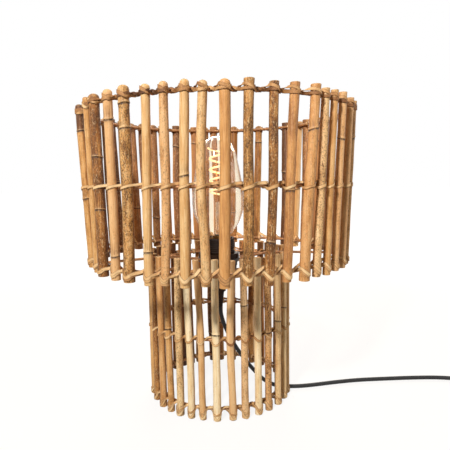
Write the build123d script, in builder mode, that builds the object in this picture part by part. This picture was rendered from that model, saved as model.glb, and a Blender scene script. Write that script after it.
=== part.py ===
from build123d import *
from math import ceil, cos, degrees, pi, radians, sin, sqrt, tan
from typing import NamedTuple
import os

import numpy as np

# A two-tier cane table lamp. Millimetres, +Z up, origin on the table under the middle of the base.
# Angles go round the lamp from the front (-Y), positive towards the right (+X).
os.makedirs("parts", exist_ok=True)

# Wire rings and the split-cane strand that lashes the canes to them
WIRE = 3.5
STRAND = 2.2
SNUG = 0.15
FREE = 0.2
STRAND_RISE = 27
MOST_LOOPS = 24

# Shade: ring heights, wire radii at the bottom and top rings, and where the canes end
SHADE_RINGS = (174.3, 256.2, 340.6)
SHADE_RADII = (145.2, 152.0)
SHADE_ENDS = (165.0, 347.5)
SHADE_SECTORS = 8

# Base: the same, standing on the table
BASE_RINGS = (10.0, 88.7, 163.0)
BASE_RADII = (77.8, 78.5)
BASE_ENDS = (0.0, 177.5)
BASE_SECTORS = 6

# Canes: how much they thin towards the tip, how unevenly they are cut, and the softened cut edge
CANE_TAPER = 0.03
CUT_SPREAD = 0.8
CUT_EDGE = 0.6

# Lamp holder: heights from the back cap's entry to the sleeve's rim, and its radii
ENTRY_Z = 131.0
LEDGE_Z = 150.0
SHOULDER_Z = 157.0
CARRIER_Z = 163.0
RIM_Z = 192.0
SLEEVE_R = 19.7
SLEEVE_BORE_R = 17.4
SHOULDER_R = 23.0
CAP_R = 22.0
CORE_R = 16.9
CORE_TOP_Z = 166.0
SHELL_R = 14.3
SHELL_TOP_Z = 187.0
SHELL_SHEET = 0.6
SHELL_FLOOR_R = 9.0
RIM_EDGE = 0.5
CAP_WALL = 2.5
CAP_MOUTH_R = 10.0
CAP_BULGE = (18.5, 138.0)
CAP_STRAIGHT_Z = 149.0
CAP_INSIDE_R = 15.0
CAP_INSIDE_Z = 141.0
NIPPLE_R = 5.0
NIPPLE_LENGTH = 6.0
GRIP_R = 8.0
GRIP_COLLAR = 7.0
GRIP_ROOT_R = 6.0
GRIP_TIP_R = 3.7
GRIP_TIP_Z = 104.0

# Contacts in the holder's core: the rivet under the bulb's tip and the two terminal screws
RIVET_R = 2.9
RIVET_HEAD_R = 4.5
RIVET_HEAD = 0.7
RIVET_FOOT = 2.0
TERMINAL_X = 10.0
TERMINAL_R = 1.5
TERMINAL_LENGTH = 6.0
TERMINAL_HEAD_R = 2.8
TERMINAL_HEAD = 2.0

# Spokes and the carrier rings that the ring nut clamps on the sleeve
SPOKE = 3.0
BASE_SPOKE_CANES = (8, 18, 30)
SHADE_SPOKE_CANES = (1, 19, 32)
CARRIER_R = 26.0
CARRIER_BORE_R = 20.4
CARRIER_PLATE = 2.0
SHADE_SPOKE_DROP_R = 62.0
SHADE_SPOKE_BEND = 20.0
NUT_R = 25.0
NUT_HEIGHT = 6.0
NUT_NOTCHES = 12
NUT_NOTCH_R = 1.6

# Bulb: a tapered filament bulb with a 27 mm screw cap
BULB_SEAT_Z = 167.3
BULB_BUTTON_Z = 168.1
BULB_BUTTON_R = (3.2, 4.4)
BULB_CAP_R = 13.1
BULB_CAP_FOOT_R = 9.0
BULB_CAP_FOOT_Z = 170.2
BULB_CAP_SIDE_Z = 172.5
BULB_CAP_TOP_Z = 191.0
INSULATOR_R = 8.6
INSULATOR_TIP_R = 5.0
INSULATOR_TOP_Z = 171.5
BULB_NECK_FOOT_Z = 183.0
BULB_NECK_R = 12.4
BULB_SIDE = ((18.5, 200.0), (28.0, 216.0), (32.0, 236.0), (29.5, 262.0), (22.5, 296.0))
BULB_CROWN = (13.0, 310.0)
BULB_TOP_Z = 316.0
GLASS = 0.9
FILAMENT = 1.8
FILAMENT_R = 11.0
FILAMENT_BOTTOM_Z = 242.0
FILAMENT_TURNS = 4.5
FILAMENT_PITCH = 13.4
LEAD = 0.9
LEAD_X = 1.4
LEAD_BEND = 1.2
STEM_TOP_Z = 236.0
STEM_TOP_R = 2.6
STEM_R = 3.4
STEM_SHOULDER_Z = 230.0
STEM_FLARE_Z = 205.0
STEM_FLARE = (5.2, 195.0)
STEM_FOOT_R = 11.0
STEM_FOOT_Z = 186.0
STEM_RIM = 1.5

# Cord: round black mains lead, its coil, the switch on it and its two-pin plug
CORD = 5.0
CORD_BORE_R = 2.6
FLOOR_Z = CORD / 2 + 0.1
COIL_TURNS_IN = 3.75
COIL_TURNS_OUT = 3.5
COIL_PITCH = 5.6
COIL_LAYER = 5.5
COIL_INNER_R = 16.2
TIE = 0.7
TIE_WIDTH = 9.0
TIE_ROOM = 1.0
TIE_CORNERS = (2.4, 1.8)
SWITCH_SIZE = (27.0, 62.0, 19.0)
SWITCH_WALL = 2.0
SWITCH_CENTRE = (338.0, -70.0)
ROCKER_SIZE = (11.0, 18.0)
ROCKER_TILT = 8
ROCKER_ROOM = 0.7
ROCKER_DRAFT = 0.4
ROCKER_HEEL = (3.0, -3.0)
ROCKER_WAIST = 0.6
ROCKER_PROUD = 1.0
PIVOT_R = 1.2
PIVOT_Z = 14.5
PIVOT_LENGTH = 16.6
CHEEK_SIZE = (3.0, 6.0, 4.4)
CHEEK_Z = 15.8
SHELL_CORNER = 9.0
SHELL_BLOCK = 14.0
SHELL_EDGES = (1.5, 2.5)
SCREW_PLACES = ((8.0, 24.0), (-8.0, -24.0))
SCREW_R = 1.5
SCREW_LENGTH = 13.0
SCREW_HEAD_R = 2.7
SCREW_HEAD = 1.9
SCREW_SUNK = 1.0
CONTACT_SIZE = (6.0, 8.0, 4.6)
CONTACT_PLACES = ((5.0, 9.0), (-5.0, -9.0))
CONTACT_EDGE = 0.6
PLUG_SIZE = (36.0, 35.0, 15.0)
PLUG_CORNER = 4.0
PLUG_BACK = (16.0, 13.0)
PLUG_TAPER = 0.55
PLUG_RELIEF = 24.0
RELIEF_R = (3.6, 5.6)
RELIEF_BORE = 8.0
PIN_R = 2.0
PIN_ROOT = 9.5
PIN_CORE_R = 1.3
PIN_SLEEVE_R = 1.65
PIN_TIP = 0.7
PIN_LENGTH = 19.0
PIN_SPACING = 18.6
PIN_SLEEVE = 10.0


def write(piece, name):
    """Label a finished piece and write it."""
    piece.part.label = name
    export_step(piece.part, f"parts/{name}.step")


def around(radius, angle, height):
    """The point at this radius, angle from the front and height."""
    turn = radians(angle)
    return Vector(radius * sin(turn), -radius * cos(turn), height)


def outward(angle):
    """The level direction away from the lamp's axis."""
    return around(1, angle, 0)


def sideways(angle):
    """The level direction round the lamp, towards larger angles."""
    return around(1, angle + 90, 0)


def biarcs(stations):
    """Two tangent arcs from each (point, direction) to the next."""
    arcs = []
    for (start, leave), (end, arrive) in zip(stations, stations[1:]):
        span = end - start
        along = span.dot(leave + arrive)
        turn = 2 * (1 - leave.dot(arrive))
        reach = (sqrt(along**2 + turn * span.dot(span)) - along) / turn
        before = start + leave * reach
        after = end - arrive * reach
        joint = (before + after) * 0.5
        arcs.append(Edge.make_tangent_arc(start, leave, joint))
        arcs.append(Edge.make_tangent_arc(joint, after - before, end))
    return arcs


def with_straight_ends(stations, arcs, length):
    """The arcs as one wire, with a straight run at each end."""
    first, leave = stations[0]
    last, arrive = stations[-1]
    lead_in = Edge.make_line(first - leave * length, first)
    lead_out = Edge.make_line(last, last + arrive * length)
    return Wire([lead_in, *arcs, lead_out])


def least_gap(arcs, thickness):
    """The smallest gap that a wound tube leaves to itself, measured on points along its middle."""
    steps = (0.0, 0.25, 0.5, 0.75)
    points = np.array([tuple(arc @ step) for arc in arcs for step in steps])
    runs = np.linalg.norm(np.diff(points, axis=0), axis=1)
    places = np.concatenate([[0.0], np.cumsum(runs)])
    apart = np.linalg.norm(points[:, None] - points[None, :], axis=2)
    neighbours = np.abs(places[:, None] - places[None, :]) < 3 * thickness
    apart[neighbours] = np.inf
    return apart.min() - thickness


def corner_radii(route):
    """The largest arc that each corner of a cord's route has room for."""
    points = [Vector(*point) for point in route]
    radii = []
    for before, corner, after in zip(points, points[1:], points[2:]):
        turn = (corner - before).get_angle(after - corner)
        shorter = min((corner - before).length, (after - corner).length)
        radii.append(0.45 * shorter / tan(radians(turn) / 2))
    return radii


class Cane(NamedTuple):
    """An upright cane: its angle at the tip and at the foot, and its thickness at half height."""

    tip_angle: float
    foot_angle: float
    thickness: float


class Tier(NamedTuple):
    """A cage of canes round three wire rings."""

    name: str
    rings: tuple
    radii: tuple
    ends: tuple
    canes: list
    sectors: int

    def ring_radius(self, height):
        low, high = self.rings[0], self.rings[2]
        share = (height - low) / (high - low)
        return self.radii[0] + (self.radii[1] - self.radii[0]) * share

    def cane_share(self, height):
        return (height - self.ends[0]) / (self.ends[1] - self.ends[0])

    def cane_radius(self, cane, height):
        return cane.thickness / 2 * (1 + CANE_TAPER * (1 - 2 * self.cane_share(height)))

    def cane_angle(self, cane, height):
        return cane.foot_angle + (cane.tip_angle - cane.foot_angle) * self.cane_share(height)

    def cane_place(self, cane, height):
        """The middle of a cane that leans against the rings from outside."""
        radius = self.ring_radius(height) + WIRE / 2 + SNUG + self.cane_radius(cane, height)
        return around(radius, self.cane_angle(cane, height), height)


# The canes that face the front follow the photograph; those at the sides and back fill the circle
SHADE_FRONT = [
    Cane(-72.6, -74.0, 9.0),
    Cane(-58.0, -61.5, 6.6),
    Cane(-48.2, -51.6, 10.4),
    Cane(-39.8, -42.6, 9.2),
    Cane(-31.6, -34.4, 10.8),
    Cane(-23.4, -26.0, 8.4),
    Cane(-16.6, -19.0, 8.4),
    Cane(-10.0, -12.0, 8.8),
    Cane(-4.7, -5.2, 8.4),
    Cane(2.7, 1.9, 9.8),
    Cane(10.4, 9.7, 9.2),
    Cane(19.0, 18.0, 8.8),
    Cane(26.4, 24.6, 8.8),
    Cane(35.2, 32.6, 9.8),
    Cane(41.1, 39.6, 8.0),
    Cane(46.9, 46.4, 7.4),
    Cane(53.7, 54.2, 7.8),
    Cane(63.6, 63.2, 8.4),
    Cane(72.8, 72.0, 9.0),
]
SHADE_BACK_ANGLES = [
    80.5, 88.5, 96.5, 104.0, 111.5, 118.5, 125.5, 132.0, 139.2, 147.0, 156.5, 162.0, 170.7,
    175.7, 181.2, 187.5, 192.9, 198.6, 204.1, 211.0, 217.5, 224.0, 230.6, 237.5,
    244.5, 251.5, 258.5, 265.8, 272.5, 279.8,
]
BASE_FRONT = [
    Cane(-79.0, -79.5, 8.0),
    Cane(-66.0, -67.0, 7.2),
    Cane(-54.6, -53.4, 7.8),
    Cane(-44.6, -43.0, 7.6),
    Cane(-32.4, -33.2, 8.2),
    Cane(-25.0, -23.0, 7.6),
    Cane(-17.0, -13.2, 7.0),
    Cane(-3.3, -3.1, 8.2),
    Cane(8.2, 8.0, 7.8),
    Cane(17.6, 18.9, 7.6),
    Cane(29.6, 29.9, 7.8),
    Cane(38.6, 41.0, 7.4),
    Cane(51.6, 53.0, 7.8),
    Cane(63.5, 64.0, 7.6),
    Cane(74.3, 74.6, 7.8),
]
BASE_BACK_ANGLES = [
    91.8, 103.0, 115.0, 127.0, 137.0, 147.5, 155.8, 167.2, 180.0, 188.8, 201.0, 210.8, 217.9,
    228.6, 239.0, 249.5, 260.0, 270.5,
]


def filling(angles, thickness):
    """Canes of uneven thickness and lean for the sides and the back."""
    canes = []
    for index, angle in enumerate(angles):
        lean = 1.1 * sin(2.4 * index)
        uneven = 0.8 * sin(1.7 * index + 1.0)
        canes.append(Cane(angle + lean / 2, angle - lean / 2, thickness + uneven))
    return canes


SHADE = Tier(
    "shade", SHADE_RINGS, SHADE_RADII, SHADE_ENDS,
    SHADE_FRONT + filling(SHADE_BACK_ANGLES, 8.6), SHADE_SECTORS,
)
BASE = Tier(
    "base", BASE_RINGS, BASE_RADII, BASE_ENDS,
    BASE_FRONT + filling(BASE_BACK_ANGLES, 7.6), BASE_SECTORS,
)
RING_NAMES = ("bottom", "middle", "top")

# Wire rings, one at the bottom, middle and top of each tier
for tier in (SHADE, BASE):
    for ring_name, height in zip(RING_NAMES, tier.rings):
        with BuildPart() as wire_ring:
            with Locations((0, 0, height)):
                Torus(tier.ring_radius(height), WIRE / 2)
        write(wire_ring, f"{tier.name}_{ring_name}_ring")


def cane_blank(tier, cane, index):
    """The plane at a cane's foot, and the cane's length. Tips are cut unevenly, feet are left long."""
    foot_height = tier.ends[0] - 2 * CUT_SPREAD
    tip_height = tier.ends[1] + CUT_SPREAD * sin(2.1 * index)
    if tier is SHADE:
        foot_height = tier.ends[0] + CUT_SPREAD * sin(3.3 * index)
    foot = tier.cane_place(cane, foot_height)
    tip = tier.cane_place(cane, tip_height)
    return Plane(origin=foot, z_dir=tip - foot), (tip - foot).length


# Canes: tapered sticks standing outside the rings, in sectors round each tier
for tier in (SHADE, BASE):
    numbered = list(enumerate(tier.canes))
    for sector in range(tier.sectors):
        first = len(numbered) * sector // tier.sectors
        beyond = len(numbered) * (sector + 1) // tier.sectors
        with BuildPart() as canes:
            for index, cane in numbered[first:beyond]:
                plane, length = cane_blank(tier, cane, index)
                with Locations(plane):
                    Cone(
                        tier.cane_radius(cane, tier.ends[0]), tier.cane_radius(cane, tier.ends[1]), length,
                        align=(Align.CENTER, Align.CENTER, Align.MIN),
                    )
            chamfer(canes.edges().filter_by(GeomType.CIRCLE), CUT_EDGE)
            if tier is BASE:
                split(bisect_by=Plane.XY, keep=Keep.TOP)
        write(canes, f"{tier.name}_canes_{sector + 1:02d}")


def strand_stations(tier, height, canes):
    """A strand's way past each cane: under the wire, up across the cane's front, over and behind the wire."""
    wire_radius = tier.ring_radius(height)
    reach = (WIRE + STRAND) / 2 + SNUG
    stations = []
    for cane, following in zip(canes, canes[1:] + [None]):
        radius = tier.cane_radius(cane, height)
        angle = tier.cane_angle(cane, height)
        side = degrees((1.1 * radius + STRAND / 2 + 4 * SNUG) / wire_radius)
        front = wire_radius + WIRE / 2 + 2 * radius + STRAND / 2 + 2 * SNUG
        climb = sideways(angle) * cos(radians(STRAND_RISE)) + Vector(0, 0, sin(radians(STRAND_RISE)))
        stations.append((around(wire_radius, angle - side, height - reach), outward(angle - side)))
        stations.append((around(front, angle, height), climb))
        stations.append((around(wire_radius, angle + side, height + reach), outward(angle + side) * -1))
        if following:
            middle = (angle + tier.cane_angle(following, height)) / 2
            fall = (sideways(middle) - Vector(0, 0, 1)).normalized()
            stations.append((around(wire_radius - reach, middle, height), fall))
    return stations


# Lashings: each ring is bound with strands that wind once round every cane and the wire
for tier in (SHADE, BASE):
    strands = ceil(len(tier.canes) / MOST_LOOPS)
    in_order = sorted(tier.canes, key=lambda cane: cane.tip_angle)
    per_strand = ceil(len(in_order) / strands)
    for ring_name, height in zip(RING_NAMES, tier.rings):
        with BuildPart() as lashing:
            for first in range(0, len(in_order), per_strand):
                stations = strand_stations(tier, height, in_order[first : first + per_strand])
                arcs = biarcs(stations)
                winding = with_straight_ends(stations, arcs, STRAND)
                with BuildSketch(Plane(origin=winding @ 0, z_dir=winding % 0)):
                    Circle(STRAND / 2)
                sweep(path=winding)
                gap = least_gap(arcs, STRAND)
                print(f"{tier.name} {ring_name} lashing strand {first}: least gap {gap:.2f} mm")
        write(lashing, f"{tier.name}_{ring_name}_lashing")

# Base spokes: level rods from the top ring, each behind a cane, to the lower carrier ring
with BuildPart() as base_spokes:
    for index in BASE_SPOKE_CANES:
        angle = BASE.cane_angle(BASE.canes[index], BASE_RINGS[2])
        start = around(CARRIER_R + SNUG, angle, CARRIER_Z + CARRIER_PLATE / 2)
        end = around(BASE_RADII[1] - WIRE / 2 - SNUG, angle, BASE_RINGS[2])
        with Locations(Plane(origin=start, z_dir=end - start)):
            Cylinder(SPOKE / 2, (end - start).length, align=(Align.CENTER, Align.CENTER, Align.MIN))
write(base_spokes, "base_spokes")

# Shade spokes: rods from behind canes on the shade's bottom ring that drop to the upper carrier ring
with BuildPart() as shade_spokes:
    for index in SHADE_SPOKE_CANES:
        angle = SHADE.cane_angle(SHADE.canes[index], SHADE_RINGS[0])
        start = around(CARRIER_R + 4 * SNUG, angle, CARRIER_Z + 1.5 * CARRIER_PLATE)
        knee = around(SHADE_SPOKE_DROP_R, angle, SHADE_RINGS[0])
        end = around(SHADE_RADII[0] - WIRE / 2 - SNUG, angle, SHADE_RINGS[0])
        with BuildLine() as bent:
            FilletPolyline(start, knee, end, radius=SHADE_SPOKE_BEND)
        with BuildSketch(Plane(origin=start, z_dir=knee - start)):
            Circle(SPOKE / 2)
        sweep(path=bent.wire())
write(shade_spokes, "shade_spokes")

# Carrier rings: flat washers on the sleeve, the base's under the shade's
for carrier_name, height in (
    ("base_carrier_ring", CARRIER_Z),
    ("shade_carrier_ring", CARRIER_Z + CARRIER_PLATE),
):
    with BuildPart() as carrier:
        with BuildSketch(Plane.XY.offset(height)):
            Circle(CARRIER_R)
            Circle(CARRIER_BORE_R, mode=Mode.SUBTRACT)
        extrude(amount=CARRIER_PLATE)
    write(carrier, carrier_name)

# Holder sleeve: the black threaded tube, with the shoulder that carries both tiers
with BuildPart() as holder_sleeve:
    with BuildSketch(Plane.XZ):
        with BuildLine():
            Polyline(
                (SLEEVE_BORE_R, SHOULDER_Z), (SHOULDER_R, SHOULDER_Z), (SHOULDER_R, CARRIER_Z),
                (SLEEVE_R, CARRIER_Z), (SLEEVE_R, RIM_Z), (SLEEVE_BORE_R, RIM_Z), close=True,
            )
        make_face()
    revolve(axis=Axis.Z)
    chamfer(holder_sleeve.edges().filter_by(GeomType.CIRCLE).group_by(Axis.Z)[-1], RIM_EDGE)
write(holder_sleeve, "holder_sleeve")

# Ring nut: clamps the two carrier rings against the shoulder
NUT_Z = CARRIER_Z + 2 * CARRIER_PLATE
with BuildPart() as holder_ring_nut:
    with BuildSketch(Plane.XY.offset(NUT_Z)):
        Circle(NUT_R)
        Circle(SLEEVE_R + FREE, mode=Mode.SUBTRACT)
        with PolarLocations(NUT_R, NUT_NOTCHES):
            Circle(NUT_NOTCH_R, mode=Mode.SUBTRACT)
    extrude(amount=NUT_HEIGHT)
write(holder_ring_nut, "holder_ring_nut")

# Back cap: domed black shell under the shoulder, with a ledge for the core and the cord's entry
CORE_ROOM_R = CORE_R + FREE
CAP_FLOOR_Z = ENTRY_Z + CAP_WALL
ENTRY_R = NIPPLE_R + FREE / 2
with BuildPart() as holder_cap:
    with BuildSketch(Plane.XZ):
        with BuildLine():
            Polyline(
                (CORE_ROOM_R, SHOULDER_Z), (CORE_ROOM_R, LEDGE_Z), (CAP_INSIDE_R, LEDGE_Z),
                (CAP_INSIDE_R, CAP_INSIDE_Z), (GRIP_R, CAP_FLOOR_Z), (ENTRY_R, CAP_FLOOR_Z),
                (ENTRY_R, ENTRY_Z), (CAP_MOUTH_R, ENTRY_Z),
            )
            Spline(
                (CAP_MOUTH_R, ENTRY_Z), CAP_BULGE, (CAP_R, CAP_STRAIGHT_Z), tangents=((1, 0.1), (0, 1))
            )
            Polyline((CAP_R, CAP_STRAIGHT_Z), (CAP_R, SHOULDER_Z), (CORE_ROOM_R, SHOULDER_Z))
        make_face()
    revolve(axis=Axis.Z)
write(holder_cap, "holder_cap")

# Core: ceramic insulator that stands on the ledge and carries the contacts
with BuildPart() as holder_core:
    with BuildSketch(Plane.XY.offset(LEDGE_Z)):
        Circle(CORE_R)
        Circle(RIVET_R + FREE / 2, mode=Mode.SUBTRACT)
    extrude(amount=CORE_TOP_Z - LEDGE_Z)
    with Locations(Plane.XY.offset(LEDGE_Z)):
        with Locations((TERMINAL_X, 0), (-TERMINAL_X, 0)):
            Cylinder(
                TERMINAL_R + FREE / 4, TERMINAL_LENGTH + 1, mode=Mode.SUBTRACT,
                align=(Align.CENTER, Align.CENTER, Align.MIN),
            )
write(holder_core, "holder_core")

# Threaded contact shell: brass tube that the bulb's cap screws into
with BuildPart() as holder_thread_shell:
    with BuildSketch(Plane.XZ):
        with BuildLine():
            Polyline(
                (SHELL_FLOOR_R, CORE_TOP_Z), (SHELL_R, CORE_TOP_Z), (SHELL_R, SHELL_TOP_Z),
                (SHELL_R - SHELL_SHEET, SHELL_TOP_Z), (SHELL_R - SHELL_SHEET, CORE_TOP_Z + SHELL_SHEET),
                (SHELL_FLOOR_R, CORE_TOP_Z + SHELL_SHEET), close=True,
            )
        make_face()
    revolve(axis=Axis.Z)
write(holder_thread_shell, "holder_thread_shell")

# Centre contact: brass rivet in the core, under the bulb's tip
with BuildPart() as holder_centre_contact:
    with BuildSketch(Plane.XZ):
        with BuildLine():
            Polyline(
                (0, LEDGE_Z + RIVET_FOOT), (RIVET_R, LEDGE_Z + RIVET_FOOT), (RIVET_R, CORE_TOP_Z),
                (RIVET_HEAD_R, CORE_TOP_Z), (RIVET_HEAD_R, CORE_TOP_Z + RIVET_HEAD),
                (0, CORE_TOP_Z + RIVET_HEAD), close=True,
            )
        make_face()
    revolve(axis=Axis.Z)
write(holder_centre_contact, "holder_centre_contact")

# Terminal screws: two brass screws in the underside of the core
with BuildPart() as holder_terminal_screws:
    with Locations(Plane.XY.offset(LEDGE_Z)):
        with Locations((TERMINAL_X, 0), (-TERMINAL_X, 0)):
            Cylinder(TERMINAL_R, TERMINAL_LENGTH, align=(Align.CENTER, Align.CENTER, Align.MIN))
            Cylinder(TERMINAL_HEAD_R, TERMINAL_HEAD, align=(Align.CENTER, Align.CENTER, Align.MAX))
write(holder_terminal_screws, "holder_terminal_screws")

# Cord grip: nipple through the cap, collar and tapered sleeve, bored for the cord
with BuildPart() as cord_grip:
    with BuildSketch(Plane.XZ):
        with BuildLine():
            Polyline(
                (CORD_BORE_R, GRIP_TIP_Z), (GRIP_TIP_R, GRIP_TIP_Z), (GRIP_ROOT_R, ENTRY_Z - GRIP_COLLAR),
                (GRIP_R, ENTRY_Z - GRIP_COLLAR), (GRIP_R, ENTRY_Z), (NIPPLE_R, ENTRY_Z),
                (NIPPLE_R, ENTRY_Z + NIPPLE_LENGTH), (CORD_BORE_R, ENTRY_Z + NIPPLE_LENGTH), close=True,
            )
        make_face()
    revolve(axis=Axis.Z)
write(cord_grip, "cord_grip")


def glass_outline(shrink):
    """Half of the bulb's outline from the neck to the top, drawn in by the glass's thickness."""
    return [
        (BULB_NECK_R - shrink, BULB_CAP_TOP_Z),
        *((radius - shrink, height) for radius, height in BULB_SIDE),
        (BULB_CROWN[0] - shrink, BULB_CROWN[1] - shrink),
        (0, BULB_TOP_Z - shrink),
    ]


# Bulb glass: one blown shell, set in the cap by its neck
with BuildPart() as bulb_glass:
    with BuildSketch(Plane.XZ):
        with BuildLine():
            outer = Spline(*glass_outline(0), tangents=((0.3, 1), (-1, 0)))
            inner = Spline(*glass_outline(GLASS), tangents=((0.3, 1), (-1, 0)))
            Line(outer @ 1, inner @ 1)
            Polyline(
                outer @ 0, (BULB_NECK_R, BULB_NECK_FOOT_Z), (BULB_NECK_R - GLASS, BULB_NECK_FOOT_Z), inner @ 0
            )
        make_face()
    revolve(axis=Axis.Z)
write(bulb_glass, "bulb_glass")

# Bulb cap: the screw shell crimped round the neck
BULB_CAP_BORE_R = BULB_NECK_R + FREE / 2
with BuildPart() as bulb_cap:
    with BuildSketch(Plane.XZ):
        with BuildLine():
            Polyline(
                (BULB_CAP_FOOT_R, BULB_CAP_FOOT_Z), (BULB_CAP_R, BULB_CAP_SIDE_Z),
                (BULB_CAP_R, BULB_CAP_TOP_Z), (BULB_CAP_BORE_R, BULB_CAP_TOP_Z),
                (BULB_CAP_BORE_R, BULB_CAP_SIDE_Z + 0.5), (INSULATOR_R + FREE / 2, BULB_CAP_FOOT_Z + 0.6),
                close=True,
            )
        make_face()
    revolve(axis=Axis.Z)
write(bulb_cap, "bulb_cap")

# Cap insulator: black glass cone between the shell and the tip
with BuildPart() as bulb_cap_insulator:
    with BuildSketch(Plane.XZ):
        with BuildLine():
            Polyline(
                (0, BULB_BUTTON_Z + FREE / 2), (INSULATOR_TIP_R, BULB_BUTTON_Z + FREE / 2),
                (INSULATOR_R, BULB_CAP_FOOT_Z - FREE / 2), (INSULATOR_R, INSULATOR_TOP_Z),
                (0, INSULATOR_TOP_Z), close=True,
            )
        make_face()
    revolve(axis=Axis.Z)
write(bulb_cap_insulator, "bulb_cap_insulator")

# Tip contact: solder button on the bulb's axis
with BuildPart() as bulb_tip_contact:
    with BuildSketch(Plane.XZ):
        with BuildLine():
            Polyline(
                (0, BULB_SEAT_Z), (BULB_BUTTON_R[0], BULB_SEAT_Z), (BULB_BUTTON_R[1], BULB_BUTTON_Z),
                (0, BULB_BUTTON_Z), close=True,
            )
        make_face()
    revolve(axis=Axis.Z)
write(bulb_tip_contact, "bulb_tip_contact")

# Stem: flared glass mount that carries the lead wires
with BuildPart() as bulb_stem:
    with BuildSketch(Plane.XZ):
        with BuildLine():
            Polyline(
                (0, STEM_TOP_Z), (STEM_TOP_R, STEM_TOP_Z), (STEM_R, STEM_SHOULDER_Z), (STEM_R, STEM_FLARE_Z)
            )
            Spline(
                (STEM_R, STEM_FLARE_Z), STEM_FLARE, (STEM_FOOT_R, STEM_FOOT_Z), tangents=((0, -1), (1, -0.6))
            )
            Polyline(
                (STEM_FOOT_R, STEM_FOOT_Z), (STEM_FOOT_R, STEM_FOOT_Z - STEM_RIM),
                (0, STEM_FOOT_Z - STEM_RIM), (0, STEM_TOP_Z),
            )
        make_face()
    revolve(axis=Axis.Z)
write(bulb_stem, "bulb_stem")


def filament_station(turns):
    """A point on the filament's helix and the way it runs there."""
    turn = 2 * pi * turns
    point = Vector(
        FILAMENT_R * cos(turn), FILAMENT_R * sin(turn), FILAMENT_BOTTOM_Z + FILAMENT_PITCH * turns
    )
    way = Vector(-2 * pi * FILAMENT_R * sin(turn), 2 * pi * FILAMENT_R * cos(turn), FILAMENT_PITCH)
    return point, way.normalized()


# Filament: one lit helix, standing round the bulb's axis
quarters = round(4 * FILAMENT_TURNS)
filament_stations = [filament_station(quarter / 4) for quarter in range(quarters + 1)]
filament_arcs = biarcs(filament_stations)
filament_wire = with_straight_ends(filament_stations, filament_arcs, FILAMENT)
with BuildPart() as bulb_filament:
    with BuildSketch(Plane(origin=filament_wire @ 0, z_dir=filament_wire % 0)):
        Circle(FILAMENT / 2)
    sweep(path=filament_wire)
write(bulb_filament, "bulb_filament")
print(f"filament: least gap {least_gap(filament_arcs, FILAMENT):.2f} mm")

# Lead wires: from the stem to the two ends of the filament
lower_end = filament_wire @ 0
upper_end = filament_wire @ 1
with BuildPart() as bulb_lead_wires:
    for foot_x, target in ((LEAD_X, lower_end), (-LEAD_X, upper_end)):
        foot = Vector(foot_x, 0, STEM_TOP_Z + SNUG)
        knee = Vector(foot_x, 0, target.Z - 4)
        if target is lower_end:
            knee = Vector(foot_x + 2.5, 0, STEM_TOP_Z + 3)
        stop = target - (target - knee).normalized() * FILAMENT
        with BuildLine() as bent_lead:
            FilletPolyline(foot, knee, stop, radius=LEAD_BEND)
        with BuildSketch(Plane(origin=foot, z_dir=knee - foot)):
            Circle(LEAD / 2)
        sweep(path=bent_lead.wire())
write(bulb_lead_wires, "bulb_lead_wires")

# Cord route: out of the grip, down inside the base, under the bottom ring between two canes,
# along the table to the right, then round to the switch
SWITCH_X, SWITCH_Y = SWITCH_CENTRE
SWITCH_NEAR = SWITCH_Y + SWITCH_SIZE[1] / 2
SWITCH_FAR = SWITCH_Y - SWITCH_SIZE[1] / 2
SPLIT_Z = SWITCH_SIZE[2] / 2
CORD_TO_SWITCH = [
    (0, 0, 124),
    (0, 0, 103),
    (3.5, -0.4, 84.5),
    (11, -1.2, 66.5),
    (20.5, -2.6, 50),
    (31, -4.4, 35),
    (42.5, -6.6, 21.5),
    (55, -9, 9),
    (69, -11.4, 3.2),
    (83.5, -13, FLOOR_Z),
    (99.8, -13.4, FLOOR_Z),
    (119.5, -10.2, FLOOR_Z),
    (146.6, -4.4, FLOOR_Z),
    (178, 0.6, FLOOR_Z),
    (212, 2.2, FLOOR_Z),
    (248, 3.6, FLOOR_Z),
    (282, 3, FLOOR_Z),
    (307, -3, FLOOR_Z + 0.4),
    (325, -12, 5.2),
    (335.5, -22, 8.6),
    (SWITCH_X, SWITCH_NEAR + 5, SPLIT_Z),
    (SWITCH_X, SWITCH_NEAR - 5, SPLIT_Z),
]

# The coil starts where the cord after the switch meets it
COIL_OUTER_R = COIL_INNER_R + COIL_PITCH * COIL_TURNS_IN
COIL_LOW_Z = CORD / 2 + TIE + 0.1
COIL_CENTRE = Vector(SWITCH_X - 1 - COIL_OUTER_R, SWITCH_FAR - 51, 0)
COIL_START = COIL_CENTRE + Vector(COIL_OUTER_R, CORD, COIL_LOW_Z)
CORD_TO_COIL = [
    (SWITCH_X, SWITCH_FAR + 5, SPLIT_Z),
    (SWITCH_X, SWITCH_FAR - 6, SPLIT_Z),
    (SWITCH_X - 0.4, SWITCH_FAR - 20, 6.4),
    (COIL_START.X, SWITCH_FAR - 34, COIL_LOW_Z),
    tuple(COIL_START),
]


def cord_tube(name, route):
    """A cord along a route of straight runs and tangent arcs."""
    radii = corner_radii(route)
    with BuildPart() as tube:
        with BuildLine() as line:
            FilletPolyline(*route, radius=radii)
        with BuildSketch(Plane(origin=route[0], z_dir=Vector(*route[1]) - Vector(*route[0]))):
            Circle(CORD / 2)
        sweep(path=line.wire())
    write(tube, name)
    length = line.wire().length
    ratio = tube.part.volume / (length * pi * CORD**2 / 4)
    print(f"{name}: {length:.0f} mm, volume ratio {ratio:.3f}, radii {[round(r) for r in radii]}")
    return length


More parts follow.
